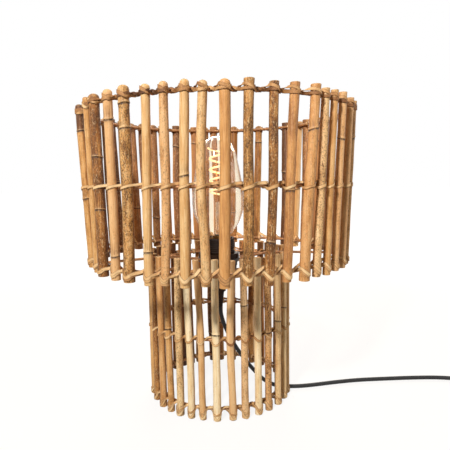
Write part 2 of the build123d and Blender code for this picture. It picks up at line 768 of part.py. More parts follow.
def coil_station(turns):
    """A point on the coil and the way the cord runs there: in on the lower layer, out on the upper."""
    total = COIL_TURNS_IN + COIL_TURNS_OUT
    beyond = turns - COIL_TURNS_IN
    side = (beyond > 0) - (beyond < 0)
    radius = COIL_INNER_R + COIL_PITCH * abs(beyond)
    layer = min(max(0.5 + 2 * beyond, 0), 1)
    spread = 0 if turns in (0, total) else side * COIL_PITCH
    climb = 3 * COIL_LAYER if beyond == 0 else 0
    turn = -2 * pi * turns
    point = COIL_CENTRE + Vector(radius * cos(turn), radius * sin(turn), COIL_LOW_Z + COIL_LAYER * layer)
    way = Vector(
        spread * cos(turn) + 2 * pi * radius * sin(turn),
        spread * sin(turn) - 2 * pi * radius * cos(turn),
        climb,
    )
    return point, way.normalized()


cord_length = cord_tube("cord_to_switch", CORD_TO_SWITCH)
cord_length += cord_tube("cord_to_coil", CORD_TO_COIL)

# Put-away coil: one unbroken length in two layers
coil_quarters = round(4 * (COIL_TURNS_IN + COIL_TURNS_OUT))
coil_stations = [coil_station(quarter / 4) for quarter in range(coil_quarters + 1)]
coil_arcs = biarcs(coil_stations)
coil_wire = with_straight_ends(coil_stations, coil_arcs, CORD)
with BuildPart() as cord_coil:
    with BuildSketch(Plane(origin=coil_wire @ 0, z_dir=coil_wire % 0)):
        Circle(CORD / 2)
    sweep(path=coil_wire)
write(cord_coil, "cord_coil")
cord_length += coil_wire.length
print(f"cord_coil: {coil_wire.length:.0f} mm, least gap {least_gap(coil_arcs, CORD):.2f} mm")

# Tie: a flat band round the coil's turns, on the side away from the switch
TIE_INSIDE = (COIL_OUTER_R - COIL_INNER_R + CORD + 2 * TIE_ROOM, COIL_LAYER + CORD + FREE)
TIE_MIDDLE = COIL_CENTRE + Vector(
    -(COIL_OUTER_R + COIL_INNER_R) / 2, 0, TIE + TIE_INSIDE[1] / 2
)
with BuildPart() as coil_tie:
    with BuildSketch(Plane(origin=TIE_MIDDLE, x_dir=(1, 0, 0), z_dir=(0, -1, 0))):
        RectangleRounded(TIE_INSIDE[0] + 2 * TIE, TIE_INSIDE[1] + 2 * TIE, TIE_CORNERS[0])
        RectangleRounded(TIE_INSIDE[0], TIE_INSIDE[1], TIE_CORNERS[1], mode=Mode.SUBTRACT)
    extrude(amount=TIE_WIDTH / 2, both=True)
write(coil_tie, "coil_tie")

# Cord from the coil to the plug, which lies beside it with its pins towards -X
COIL_END = coil_wire @ 1
PLUG_Z = PLUG_SIZE[2] / 2
PLUG_START_X = COIL_END.X - 36
CORD_TO_PLUG = [
    tuple(COIL_END),
    (COIL_END.X - 9, COIL_END.Y, COIL_END.Z),
    (COIL_END.X - 20, COIL_END.Y, (COIL_END.Z + PLUG_Z) / 2),
    (COIL_END.X - 30, COIL_END.Y, PLUG_Z),
    (PLUG_START_X - 4, COIL_END.Y, PLUG_Z),
]
cord_length += cord_tube("cord_to_plug", CORD_TO_PLUG)
print(f"cord: {cord_length:.0f} mm in all")

# Plug strain relief: tapered sleeve that the cord enters
PLUG_PLANE = Plane(origin=(PLUG_START_X, COIL_END.Y, PLUG_Z), x_dir=(0, 1, 0), z_dir=(-1, 0, 0))
with BuildPart() as plug_strain_relief:
    with BuildSketch(PLUG_PLANE):
        Circle(RELIEF_R[0])
    with BuildSketch(PLUG_PLANE.offset(PLUG_RELIEF)):
        Circle(RELIEF_R[1])
    loft()
    with Locations(PLUG_PLANE):
        Cylinder(CORD_BORE_R, RELIEF_BORE, align=(Align.CENTER, Align.CENTER, Align.MIN), mode=Mode.SUBTRACT)
write(plug_strain_relief, "plug_strain_relief")

# Plug body: flat moulded body that widens towards the pins
PLUG_LENGTH, PLUG_WIDTH, PLUG_HEIGHT = PLUG_SIZE
FACE_PLANE = PLUG_PLANE.offset(PLUG_RELIEF + PLUG_LENGTH)
PIN_PLACES = ((PIN_SPACING / 2, 0), (-PIN_SPACING / 2, 0))
with BuildPart() as plug_body:
    with BuildSketch(PLUG_PLANE.offset(PLUG_RELIEF)):
        RectangleRounded(*PLUG_BACK, PLUG_CORNER)
    with BuildSketch(PLUG_PLANE.offset(PLUG_RELIEF + PLUG_LENGTH * PLUG_TAPER)):
        RectangleRounded(PLUG_WIDTH, PLUG_HEIGHT, PLUG_CORNER)
    with BuildSketch(FACE_PLANE):
        RectangleRounded(PLUG_WIDTH, PLUG_HEIGHT, PLUG_CORNER)
    loft(ruled=True)
    with Locations(FACE_PLANE):
        with Locations(*PIN_PLACES):
            Cylinder(
                PIN_CORE_R + FREE / 4, PIN_ROOT + 0.5, mode=Mode.SUBTRACT,
                align=(Align.CENTER, Align.CENTER, Align.MAX),
            )
write(plug_body, "plug_body")

# Plug pins: two round brass pins on thinner cores, set in the body
with BuildPart() as plug_pins:
    with Locations(FACE_PLANE):
        with Locations(*PIN_PLACES):
            Cylinder(PIN_CORE_R, PIN_ROOT, align=(Align.CENTER, Align.CENTER, Align.MAX))
            Cylinder(PIN_CORE_R, PIN_SLEEVE, align=(Align.CENTER, Align.CENTER, Align.MIN))
    with Locations(FACE_PLANE.offset(PIN_SLEEVE)):
        with Locations(*PIN_PLACES):
            Cylinder(PIN_R, PIN_LENGTH - PIN_SLEEVE, align=(Align.CENTER, Align.CENTER, Align.MIN))
    chamfer(plug_pins.faces().sort_by(Axis.X)[:2].edges(), PIN_TIP)
write(plug_pins, "plug_pins")

# Pin sleeves: black insulation round the core of each pin
with BuildPart() as plug_pin_sleeves:
    with BuildSketch(FACE_PLANE):
        with Locations(*PIN_PLACES):
            Circle(PIN_SLEEVE_R)
            Circle(PIN_CORE_R + FREE / 4, mode=Mode.SUBTRACT)
    extrude(amount=PIN_SLEEVE)
write(plug_pin_sleeves, "plug_pin_sleeves")

# In-line switch: two half shells round the cord, screwed together
SWITCH_WIDTH, SWITCH_LENGTH, SWITCH_HEIGHT = SWITCH_SIZE
ROCKER_WIDTH, ROCKER_LENGTH = ROCKER_SIZE
CHEEK_X = ROCKER_WIDTH / 2 + ROCKER_ROOM + CHEEK_SIZE[0] / 2
for half_name, low, floor, roof in (
    ("switch_lower_shell", 0, SWITCH_WALL, 0),
    ("switch_upper_shell", SPLIT_Z, 0, SWITCH_WALL),
):
    foot = Plane(origin=(SWITCH_X, SWITCH_Y, low))
    with BuildPart() as half:
        with BuildSketch(foot):
            RectangleRounded(SWITCH_WIDTH, SWITCH_LENGTH, SHELL_CORNER)
        extrude(amount=SPLIT_Z)
        if half_name == "switch_lower_shell":
            chamfer(half.faces().sort_by(Axis.Z)[0].outer_wire().edges(), SHELL_EDGES[0])
        else:
            chamfer(half.faces().sort_by(Axis.Z)[-1].outer_wire().edges(), SHELL_EDGES[1])
        with BuildSketch(foot.offset(floor)):
            RectangleRounded(
                SWITCH_WIDTH - 2 * SWITCH_WALL, SWITCH_LENGTH - 2 * SWITCH_WALL - SHELL_BLOCK,
                SHELL_CORNER - SWITCH_WALL,
            )
        extrude(amount=SPLIT_Z - floor - roof, mode=Mode.SUBTRACT)
        with Locations(Plane(origin=(SWITCH_X, SWITCH_Y, SPLIT_Z), z_dir=(0, 1, 0))):
            Cylinder(CORD_BORE_R, SWITCH_LENGTH, mode=Mode.SUBTRACT)
        if half_name == "switch_lower_shell":
            with Locations(foot):
                with Locations(*SCREW_PLACES):
                    Cylinder(
                        SCREW_R + FREE / 2, SPLIT_Z, mode=Mode.SUBTRACT,
                        align=(Align.CENTER, Align.CENTER, Align.MIN),
                    )
                    Cylinder(
                        SCREW_HEAD_R + FREE, SCREW_SUNK + SCREW_HEAD + 0.1, mode=Mode.SUBTRACT,
                        align=(Align.CENTER, Align.CENTER, Align.MIN),
                    )
        else:
            with BuildSketch(Plane(origin=(SWITCH_X, SWITCH_Y, SWITCH_HEIGHT))):
                RectangleRounded(ROCKER_WIDTH + 2 * ROCKER_ROOM, ROCKER_LENGTH + 2 * ROCKER_ROOM, 1)
            extrude(amount=-2 * SWITCH_WALL, mode=Mode.SUBTRACT)
            with Locations(foot):
                with Locations(*SCREW_PLACES):
                    Cylinder(
                        SCREW_R + FREE / 4, SCREW_SUNK + SCREW_LENGTH - SPLIT_Z + 1.5, mode=Mode.SUBTRACT,
                        align=(Align.CENTER, Align.CENTER, Align.MIN),
                    )
            with Locations(Plane(origin=(SWITCH_X, SWITCH_Y, CHEEK_Z))):
                with Locations((CHEEK_X, 0), (-CHEEK_X, 0)):
                    Box(*CHEEK_SIZE)
            with Locations(Plane(origin=(SWITCH_X, SWITCH_Y, PIVOT_Z), z_dir=(1, 0, 0))):
                Cylinder(PIVOT_R + 0.02, PIVOT_LENGTH + 2 * FREE, mode=Mode.SUBTRACT)
    write(half, half_name)

# Rocker: rocks on the pivot pin, lying over on its on side
ROCKER_PLANE = Plane(
    origin=(SWITCH_X, SWITCH_Y, PIVOT_Z),
    x_dir=(0, cos(radians(ROCKER_TILT)), sin(radians(ROCKER_TILT))),
    z_dir=(1, 0, 0),
)
ROCKER_TOP = SWITCH_HEIGHT + ROCKER_PROUD - PIVOT_Z
with BuildPart() as switch_rocker:
    with BuildSketch(ROCKER_PLANE):
        with BuildLine():
            half_length = ROCKER_LENGTH / 2 - ROCKER_DRAFT
            lift = half_length * tan(radians(ROCKER_TILT))
            Polyline(
                (-half_length, ROCKER_TOP + lift), (0, ROCKER_TOP), (half_length, ROCKER_TOP + lift),
                (half_length - ROCKER_DRAFT, ROCKER_WAIST), ROCKER_HEEL,
                (-ROCKER_HEEL[0], ROCKER_HEEL[1]), (-half_length + ROCKER_DRAFT, ROCKER_WAIST), close=True,
            )
        make_face()
        Circle(PIVOT_R + 0.05, mode=Mode.SUBTRACT)
    extrude(amount=ROCKER_WIDTH / 2, both=True)
write(switch_rocker, "switch_rocker")

# Pivot pin: steel pin through the rocker, held in the upper shell's cheeks
with BuildPart() as switch_pivot_pin:
    with Locations(Plane(origin=(SWITCH_X, SWITCH_Y, PIVOT_Z), z_dir=(1, 0, 0))):
        Cylinder(PIVOT_R, PIVOT_LENGTH)
write(switch_pivot_pin, "switch_pivot_pin")

# Contacts: two brass terminal blocks on the floor of the lower shell
with BuildPart() as switch_contacts:
    with Locations(Plane(origin=(SWITCH_X, SWITCH_Y, SWITCH_WALL))):
        with Locations(*CONTACT_PLACES):
            Box(*CONTACT_SIZE, align=(Align.CENTER, Align.CENTER, Align.MIN))
    chamfer(switch_contacts.edges().filter_by(Axis.Z), CONTACT_EDGE)
write(switch_contacts, "switch_contacts")

# Screws: two steel screws from below that hold the halves together
with BuildPart() as switch_screws:
    with Locations(Plane(origin=(SWITCH_X, SWITCH_Y, SCREW_SUNK))):
        with Locations(*SCREW_PLACES):
            Cylinder(SCREW_R, SCREW_LENGTH, align=(Align.CENTER, Align.CENTER, Align.MIN))
            Cylinder(SCREW_HEAD_R, SCREW_HEAD, align=(Align.CENTER, Align.CENTER, Align.MIN))
write(switch_screws, "switch_screws")
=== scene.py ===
import math
import random

import bmesh
import bpy
from mathutils import Matrix, Vector


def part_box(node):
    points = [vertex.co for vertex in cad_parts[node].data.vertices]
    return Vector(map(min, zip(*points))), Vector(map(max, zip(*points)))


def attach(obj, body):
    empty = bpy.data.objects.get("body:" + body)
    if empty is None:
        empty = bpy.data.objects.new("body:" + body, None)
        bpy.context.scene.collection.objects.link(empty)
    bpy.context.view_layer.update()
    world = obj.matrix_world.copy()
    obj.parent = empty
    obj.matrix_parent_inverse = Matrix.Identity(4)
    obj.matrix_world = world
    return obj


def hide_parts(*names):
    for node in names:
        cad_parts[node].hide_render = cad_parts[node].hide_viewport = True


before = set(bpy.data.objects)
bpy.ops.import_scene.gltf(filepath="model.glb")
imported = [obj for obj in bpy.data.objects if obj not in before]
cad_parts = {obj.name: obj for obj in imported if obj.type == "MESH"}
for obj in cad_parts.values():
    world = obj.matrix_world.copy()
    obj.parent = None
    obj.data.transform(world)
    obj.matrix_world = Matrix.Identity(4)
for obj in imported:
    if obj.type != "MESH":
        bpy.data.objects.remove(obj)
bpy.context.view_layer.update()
scene = bpy.context.scene
scene.view_settings.view_transform = "Standard"

# Camera
# It stands in front of the lamp at about the height of the shade's middle and looks slightly down.
EYE = Vector((0.0, -0.5388, 0.2582))
PITCH, YAW, ROLL = (math.radians(angle) for angle in (5.415, 0.869, -0.8205))
LENS = 34.75
SENSOR_WIDTH = 36.0
looking = Vector((math.sin(YAW) * math.cos(PITCH), math.cos(YAW) * math.cos(PITCH), -math.sin(PITCH)))
level = Vector((math.cos(YAW), -math.sin(YAW), 0))
above = level.cross(looking)
across = level * math.cos(ROLL) + above * math.sin(ROLL)
upright = above * math.cos(ROLL) - level * math.sin(ROLL)
camera = bpy.data.objects.new("camera", bpy.data.cameras.new("camera"))
camera.data.lens = LENS
camera.data.sensor_width = SENSOR_WIDTH
camera.data.clip_start = 0.01
camera.matrix_world = Matrix.Translation(EYE) @ Matrix((across, upright, -looking)).transposed().to_4x4()
scene.collection.objects.link(camera)
scene.camera = camera

# Floor and light
# A plain pale sweep of paper, a small soft key light from above the camera's left, broad warm lights from
# behind and from the right, and an even room. The camera sees floor and room as white: near the lamp the
# floor keeps its shadow, and further off it fades into the room.
FLOOR_SIZE = 30.0
FLOOR_DROP = 0.0004
FLOOR_WHITE = 0.425
FLOOR_GLOW = 2.05
FLOOR_FADE = (0.5, 1.8)
PAPER_TONE = (0.20, 0.17, 0.13, 1)
ROOM_LIGHT = 0.08
PLAIN_WHITE = (1.0, 1.0, 1.0)
WARM_WHITE = (1.0, 0.93, 0.84)
LAMP_MIDDLE = Vector((0, 0, 0.18))
STUDIO_LIGHTS = {
    "key_light": (Vector((-0.53, -1.25, 1.17)), 0.18, 32.5, PLAIN_WHITE),
    "back_light": (Vector((0.10, 1.70, 1.10)), 1.20, 32.0, WARM_WHITE),
    "right_light": (Vector((1.75, -0.15, 0.95)), 1.20, 11.0, WARM_WHITE),
}


class Tone:
    """One output of a material's nodes. Arithmetic on it adds Math nodes."""

    def __init__(self, tree, socket=None):
        self.tree = tree
        self.socket = socket

    def node(self, kind, sockets=(), output=0, stops=(), **settings):
        """Add a node: its settings first, then the values or links of its sockets."""
        made = self.tree.nodes.new(kind)
        for name, value in settings.items():
            setattr(made, name, value)
        for index, (place, colour) in enumerate(stops):
            ramp = made.color_ramp.elements
            stop = ramp[index] if index < 2 else ramp.new(place)
            stop.position = place
            stop.color = colour
        for name, value in dict(sockets).items():
            if isinstance(value, Tone):
                self.tree.links.new(value.socket, made.inputs[name])
            else:
                made.inputs[name].default_value = value
        return Tone(self.tree, made.outputs[output])

    def output(self, name):
        """Another output of the node that made this one."""
        return Tone(self.tree, self.socket.node.outputs[name])

    def math(self, operation, first, second=0.0):
        return self.node("ShaderNodeMath", {0: first, 1: second}, operation=operation)

    def __add__(self, other):
        return self.math("ADD", self, other)

    def __radd__(self, other):
        return self.math("ADD", other, self)

    def __sub__(self, other):
        return self.math("SUBTRACT", self, other)

    def __rsub__(self, other):
        return self.math("SUBTRACT", other, self)

    def __mul__(self, other):
        return self.math("MULTIPLY", self, other)

    def __rmul__(self, other):
        return self.math("MULTIPLY", other, self)

    def __abs__(self):
        return self.math("ABSOLUTE", self)

    def at_most(self, limit):
        return self.math("MINIMUM", self, limit)

    def clear(self, low, high):
        """0 below low, 1 above high, and smooth between."""
        return self.node(
            "ShaderNodeMapRange", {"Value": self, "From Min": low, "From Max": high},
            interpolation_type="SMOOTHSTEP",
        )

    def mix(self, first, second):
        """The first colour where this is 0, the second where it is 1."""
        return self.node("ShaderNodeMix", {0: self, 6: first, 7: second}, output=2, data_type="RGBA")


def linear(red, green, blue):
    """A screen colour of 0 to 255 as the shader's own numbers."""
    shares = (value / 255 for value in (red, green, blue))
    lit = (v / 12.92 if v <= 0.04045 else ((v + 0.055) / 1.055) ** 2.4 for v in shares)
    return (*lit, 1.0)


class Finish:
    """A material of one real finish, built from nodes round its shader."""

    def __init__(self, name, **sockets):
        self.material = bpy.data.materials.new(name)
        self.material.use_nodes = True
        self.tree = self.material.node_tree
        self.shader = self.tree.nodes["Principled BSDF"]
        self.start = Tone(self.tree)
        for socket, value in sockets.items():
            self.shader.inputs[socket.replace("_", " ")].default_value = value

    def feed(self, socket, tone):
        self.tree.links.new(tone.socket, self.shader.inputs[socket])

    def place(self, upright=1.0):
        """Object coordinates. A pattern on them is drawn out upright where that share is under 1."""
        spot = self.start.node("ShaderNodeTexCoord", output="Object")
        return self.start.node("ShaderNodeVectorMath", {0: spot, 1: (1, 1, upright)}, operation="MULTIPLY")

    def noise(self, scale, detail=2.0, roughness=0.5, upright=1.0, place=None):
        """A cloudy pattern of this many spots a metre."""
        place = place or self.place(upright)
        sockets = {"Vector": place, "Scale": scale, "Detail": detail, "Roughness": roughness}
        return self.start.node("ShaderNodeTexNoise", sockets)

    def ramp(self, tone, *stops):
        return self.start.node("ShaderNodeValToRGB", {"Fac": tone}, stops=stops)

    def mottled(self, tone, first, second, rough, spread, begin=0.3, full=0.8):
        """Two screen colours and a roughness that follow one pattern."""
        self.feed("Base Color", self.ramp(tone, (begin, linear(*first)), (full, linear(*second))))
        self.feed("Roughness", rough + tone * spread)

    def written(self, attribute):
        """The three numbers that a mesh carries on its vertices under this name, as a vector."""
        return self.start.node("ShaderNodeAttribute", output="Vector", attribute_name=attribute)

    def numbers(self, vector):
        """The three numbers of a vector, each on its own."""
        parts = self.start.node("ShaderNodeSeparateXYZ", {"Vector": vector})
        return [parts.output(axis) for axis in "XYZ"]

    def bump(self, tone, height, strength=1.0):
        """Raise the surface by this many metres where the tone is 1."""
        sockets = {"Height": tone, "Distance": height, "Strength": strength}
        self.feed("Normal", self.start.node("ShaderNodeBump", sockets))


def seen_rays(start):
    """1 for what the camera sees, straight, mirrored or through glass, and 0 for light."""
    rays = start.node("ShaderNodeLightPath", output="Is Camera Ray")
    both = rays + rays.output("Is Glossy Ray") + rays.output("Is Transmission Ray")
    return both.at_most(1.0)


bm = bmesh.new()
bmesh.ops.create_grid(bm, x_segments=1, y_segments=1, size=FLOOR_SIZE / 2)
floor_mesh = bpy.data.meshes.new("floor")
bm.to_mesh(floor_mesh)
bm.free()
floor = bpy.data.objects.new("floor", floor_mesh)
floor.location.z = -FLOOR_DROP
scene.collection.objects.link(floor)
paper = Finish("white_paper", Roughness=0.9, Base_Color=PAPER_TONE)
glow = paper.start.node("ShaderNodeEmission", {"Color": (1, 1, 1, 1), "Strength": FLOOR_GLOW})
plain = Tone(paper.tree, paper.shader.outputs["BSDF"])
reach = paper.start.node("ShaderNodeVectorMath", {0: paper.place()}, output="Value", operation="LENGTH")
white = FLOOR_WHITE + reach.clear(*FLOOR_FADE) * (1 / FLOOR_GLOW - FLOOR_WHITE)
shown = paper.start.node("ShaderNodeMixShader", {0: seen_rays(paper.start) * white, 1: plain, 2: glow})
paper.tree.links.new(shown.socket, paper.tree.nodes["Material Output"].inputs["Surface"])
floor_mesh.materials.append(paper.material)

room = bpy.data.worlds.new("room")
room.use_nodes = True
scene.world = room
background = room.node_tree.nodes["Background"]
seen = seen_rays(Tone(room.node_tree))
walls = seen.mix((*WARM_WHITE, 1), (*PLAIN_WHITE, 1))
strength = seen * (1 - ROOM_LIGHT) + ROOM_LIGHT
room.node_tree.links.new(walls.socket, background.inputs["Color"])
room.node_tree.links.new(strength.socket, background.inputs["Strength"])

for name, (stand, size, power, colour) in STUDIO_LIGHTS.items():
    light = bpy.data.objects.new(name, bpy.data.lights.new(name, "AREA"))
    light.data.shape = "DISK"
    light.data.size = size
    light.data.energy = power
    light.data.color = colour
    light.location = stand
    light.rotation_euler = (LAMP_MIDDLE - stand).to_track_quat("-Z", "Y").to_euler()
    light.visible_camera = False
    scene.collection.objects.link(light)

# Wire rings
# Drawn steel wire bent into hoops and browned, three to a tier. They carry the canes, which stand outside
# them, and are mostly hidden by the lashings.
MM = 0.001
RINGS = ("bottom", "middle", "top")
browned_wire = Finish("browned_wire", Metallic=0.25)
rust = browned_wire.noise(160, 4.0, 0.65)
scratches = browned_wire.noise(1300, 2.0)
browned_wire.feed(
    "Base Color",
    browned_wire.ramp(
        rust * 0.8 + scratches * 0.2,
        (0.30, linear(128, 86, 52)), (0.52, linear(172, 120, 76)), (0.75, linear(204, 152, 102)),
    ),
)
browned_wire.feed("Roughness", 0.42 + rust * 0.25)
browned_wire.bump(scratches, 0.08 * MM, 0.5)


def paint_node(name, finish):
    """Give a CAD node that stays a finish of its own."""
    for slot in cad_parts[name].material_slots:
        slot.material = finish.material


for tier in ("base", "shade"):
    for ring in RINGS:
        paint_node(f"{tier}_{ring}_ring", browned_wire)

# Canes
# Upright sticks of thin bamboo with their skin on, cut to length and lashed to the rings. Each stands where
# its CAD stick stands. Those in front are matched to the photograph one by one: tone, spots, joints and tip.
# The side of each cane that faces the lamp's middle is drawn browner: painted shade.
SAME_POINT = 1e-6
FULL_TURN = 6.28
SIDES = 24
STEP = 5.0 * MM
INNER_SIDE_SHADE = 0.52
BACK_EXTRA = {"base": 0.5 * MM, "shade": 1.3 * MM}
BACK_FROM = {"base": 40 * MM, "shade": 60 * MM}

# Skin: the waves of a cane's thickness (share, waves, own turns) and of its section (share, lobes, twist)
SWELLS = ((0.022, 60, 2), (0.012, 170, 1))
OVAL = (0.016, 2, 9)
THREE_SIDED = (0.010, 3, -14)

# Joint, in millimetres from its line: rows of the mesh, a step in thickness, lip, scar and groove (share,
# place, width), the lean of its ring, and how it is coloured: its dark line, painted shade under it, a
# painted highlight on its lip and the stain over it
JOINT_ROWS = (-5, -3.4, -2.3, -1.5, -1.0, -0.6, -0.25, 0.1, 0.45, 0.8, 1.2, 1.7, 2.4, 3.4, 5)
JOINT_CLEAR = 5.5
JOINT_STEP = 0.05
JOINT_STEP_LENGTH = 3.0
JOINT_RELIEF = ((0.095, 1.3, 1.2), (0.045, -1.1, 0.9), (-0.060, 0.0, 0.4))
JOINT_LEAN = 0.22
JOINT_LEAN_REACH = 4.0
JOINT_LINE = 0.65
JOINT_SHADE_UNDER = (0.5, -0.7, 1.0)
JOINT_LIP_HIGHLIGHT = (0.8, 1.5, 0.7)
STAIN_PLACE = 4.0
STAIN_REACH = (2.0, 5.0)

# Ends: millimetres from the end, share of the thickness and how much cut wood shows
FOOT_ROWS = ((0, 0.30, 1), (0, 0.72, 1), (0, 0.93, 1), (0.175, 0.985, 0.5), (0.7, 1.0, 0))
FOOT_CLEAR = 1.4 * MM
CUT_ROWS = (
    (3.5, 1.01, 0), (1.6, 1.035, 0), (0.7, 1.04, 0), (0.14, 1.01, 0.6), (0, 0.93, 1), (0, 0.72, 1),
    (0.3, 0.3, 1),
)
TIP_CLEAR = 4.0 * MM
DOME = 0.75
DOME_LIFTS = (0.0, 0.35, 0.6, 0.8, 0.92, 0.985)
DOME_CUT = 0.25

# Canes that the photograph hides: how their looks are drawn by lot
SPARE_TONE = (0.44, 0.17)
SPARE_TONES = (0.05, 0.85)
SPARE_SPOTS = (0.05, 0.95)
SPARE_SPOTS_POWER = 1.3
SPARE_BLUSH = (0.3, 0.8)
SPARE_BOW = (-1.2, 1.2)
SPARE_STAIN = (0.3, 0.9)


class Look:
    """How one cane's skin looks: pale to brown, clean to spotted, green to pink, its joints and its tip."""

    def __init__(self, tone, spots, blush=0.5, joints=(), tip="cut", bow=0.0, sleeve=None, stain=0.5):
        self.tone = tone
        self.spots = spots
        self.blush = blush
        self.joints = joints
        self.tip = tip
        self.bow = bow
        self.sleeve = sleeve
        self.stain = stain


SHADE_LOOKS = [
    Look(0.46, 0.35, 0.4, (318, 243), "dome", 0.3, sleeve=(318, 0.90)),
    Look(0.40, 0.30, 0.5, (), "dome", -0.4),
    Look(0.72, 0.80, 0.4, (285, 233), "dome", 0.5, stain=1.0),
    Look(0.22, 0.15, 0.9, (320, 189), "dome", -0.5, stain=0.7),
    Look(0.46, 0.95, 0.2, (331, 309), "dome", 0.5),
    Look(0.26, 0.10, 0.4, (195,), "dome", -0.4, stain=0.8),
    Look(0.26, 0.50, 0.9, (), "dome", 0.8),
    Look(0.27, 0.12, 0.4, (266,), "dome", -0.3),
    Look(0.26, 0.50, 0.6, (), "dome", 1.6),
    Look(0.46, 0.10, 0.7, (), "dome", -0.3),
    Look(0.60, 0.95, 0.1, (), "cut", 0.6),
    Look(0.72, 1.00, 0.3, (204,), "cut", -0.8, stain=0.5),
    Look(0.58, 0.35, 0.8, (250,), "cut", 0.5),
    Look(0.40, 0.40, 0.8, (307,), "cut", -0.6, sleeve=(307, 0.50)),
    Look(0.22, 0.70, 0.6, (), "cut", 0.4),
    Look(0.40, 0.30, 0.4, (), "cut", -0.4),
    Look(0.26, 0.40, 0.9, (302,), "cut", 0.3),
    Look(0.22, 0.35, 0.9, (), "cut", -0.3),
    Look(0.36, 0.55, 0.4, (307,), "cut", 0.4),
]
BASE_LOOKS = [
    Look(0.40, 0.25, 0.3, (), "cut", 0.4),
    Look(0.68, 0.70, 0.5, (), "cut", -0.5),
    Look(0.40, 0.35, 0.7, (), "cut", 0.3),
    Look(0.42, 0.40, 0.4, (96,), "cut", -0.4),
    Look(0.16, 0.60, 0.5, (), "cut", 0.5),
    Look(-0.06, 0.08, 0.4, (), "cut", -0.6),
    Look(0.24, 0.15, 0.7, (), "cut", 1.0),
    Look(-0.06, 0.06, 0.4, (96,), "cut", 0.3, stain=0.3),
    Look(0.14, 0.12, 0.8, (), "cut", -1.2),
    Look(0.12, 0.55, 0.9, (128,), "cut", 0.4),
    Look(-0.04, 0.15, 0.5, (), "cut", -0.4),
    Look(0.40, 0.90, 0.7, (92,), "cut", 0.5, stain=0.8),
    Look(0.16, 0.30, 0.5, (100,), "cut", -0.3),
    Look(0.04, 0.20, 0.5, (112,), "cut", 0.4),
    Look(0.26, 0.30, 0.5, (), "cut", -0.3),
]


def bell(far, middle, width):
    """1 at the middle, falling away smoothly on both sides."""
    return math.exp(-(((far - middle) / width) ** 2))


def way_out(angle):
    """The level direction away from the lamp's axis, at an angle from the front."""
    return Vector((math.sin(angle), -math.cos(angle), 0))


def way_round(angle):
    """The level direction round the lamp, towards the right in front."""
    return Vector((math.cos(angle), math.sin(angle), 0))


class Cane:
    """One cane: the line and thickness of its CAD stick, bowed a little, and its look."""

    def __init__(self, group, foot, tip, foot_radius, tip_radius):
        self.group = group
        self.foot = foot
        self.tip = tip
        self.radii = (foot_radius, tip_radius)
        self.angle = math.atan2(foot.x + tip.x, -foot.y - tip.y)
        self.look = None
        self.turn = 0.0

    def share(self, z):
        return (z - self.foot.z) / (self.tip.z - self.foot.z)

    def middle(self, z):
        share = self.share(z)
        bow = self.look.bow * MM * math.sin(2.0 * math.pi * share + self.turn)
        return self.foot.lerp(self.tip, share) + way_round(self.angle) * bow

    def radius(self, z):
        """Thickness with the slow swell of each length and, at a joint, a lip over a groove."""
        foot, tip = self.radii
        plain = foot + (tip - foot) * self.share(z)
        plain *= 1 + sum(rise * math.sin(waves * z + turns * self.turn) for rise, waves, turns in SWELLS)
        for number, joint in enumerate(self.look.joints):
            far = z / MM - joint
            past = min(max(far / JOINT_STEP_LENGTH + 0.5, 0), 1)
            side = 1 if (number + round(self.turn)) % 2 else -1
            plain *= 1 + side * JOINT_STEP * (past - 0.5)
            plain *= 1 + sum(rise * bell(far, middle, width) for rise, middle, width in JOINT_RELIEF)
        return plain

    def section(self, z, angle):
        """How far the cane reaches on this side, against a round one."""
        oval, lobes, twist = OVAL
        uneven = 1 + oval * math.sin(lobes * angle + self.turn + twist * z)
        corners, lobes, twist = THREE_SIDED
        return uneven + corners * math.sin(lobes * angle + twist * z)

    def slant(self, z, angle):
        """How far a joint's ring, which is seldom level, rises or falls on this side."""
        lean = math.cos(angle + self.turn) * self.radii[0] * JOINT_LEAN
        return lean * sum(bell(z / MM, joint, JOINT_LEAN_REACH) for joint in self.look.joints)

    def joint_marks_and_light(self, z):
        """At this height: a joint's dark line, painted shade under it, a painted highlight on its lip, its
        stain.
        """
        line_shade_and_lip_light = 0.0
        halo = 0.0
        stain = self.look.stain
        for joint in self.look.joints:
            far = z / MM - joint
            # Painted shade just under the line, and a painted highlight on the lip above it.
            shade_under, pale = (part[0] * bell(far, *part[1:]) for part in (JOINT_SHADE_UNDER, JOINT_LIP_HIGHLIGHT))
            line_shade_and_lip_light += 1.0 if abs(far) < JOINT_LINE else shade_under - pale
            halo = max(halo, stain * bell(far, STAIN_PLACE, STAIN_REACH[0] + STAIN_REACH[1] * stain))
        return line_shade_and_lip_light, halo


def sticks(tier, node):
    """The separate sticks of a CAD node, read from a merged copy of its mesh. Those behind are stouter."""
    copy = bmesh.new()
    copy.from_mesh(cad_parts[node].data)
    bmesh.ops.remove_doubles(copy, verts=copy.verts, dist=SAME_POINT)
    found = []
    left = set(copy.verts)
    while left:
        reached = [left.pop()]
        for vert in reached:
            for edge in vert.link_edges:
                other = edge.other_vert(vert)
                if other in left:
                    left.remove(other)
                    reached.append(other)
        spots = [vert.co.copy() for vert in reached]
        lowest = min(spot.z for spot in spots)
        highest = max(spot.z for spot in spots)
        lower = [spot for spot in spots if spot.z < (lowest + highest) / 2]
        upper = [spot for spot in spots if spot.z >= (lowest + highest) / 2]
        low = sum(lower, Vector()) / len(lower)
        high = sum(upper, Vector()) / len(upper)
        rise = (high - low) / (high.z - low.z)
        foot = low + rise * (lowest - low.z)
        tip = low + rise * (highest - low.z)
        radii = [max(((p - low).cross(rise)).length / rise.length for p in half) for half in (lower, upper)]
        if tip.y > BACK_FROM[tier]:
            outwards = Vector((low.x, low.y, 0)).normalized() * BACK_EXTRA[tier]
            foot, tip = foot + outwards, tip + outwards
            radii = [radius + BACK_EXTRA[tier] for radius in radii]
        found.append(Cane(node, foot, tip, *radii))
    copy.free()
    return found


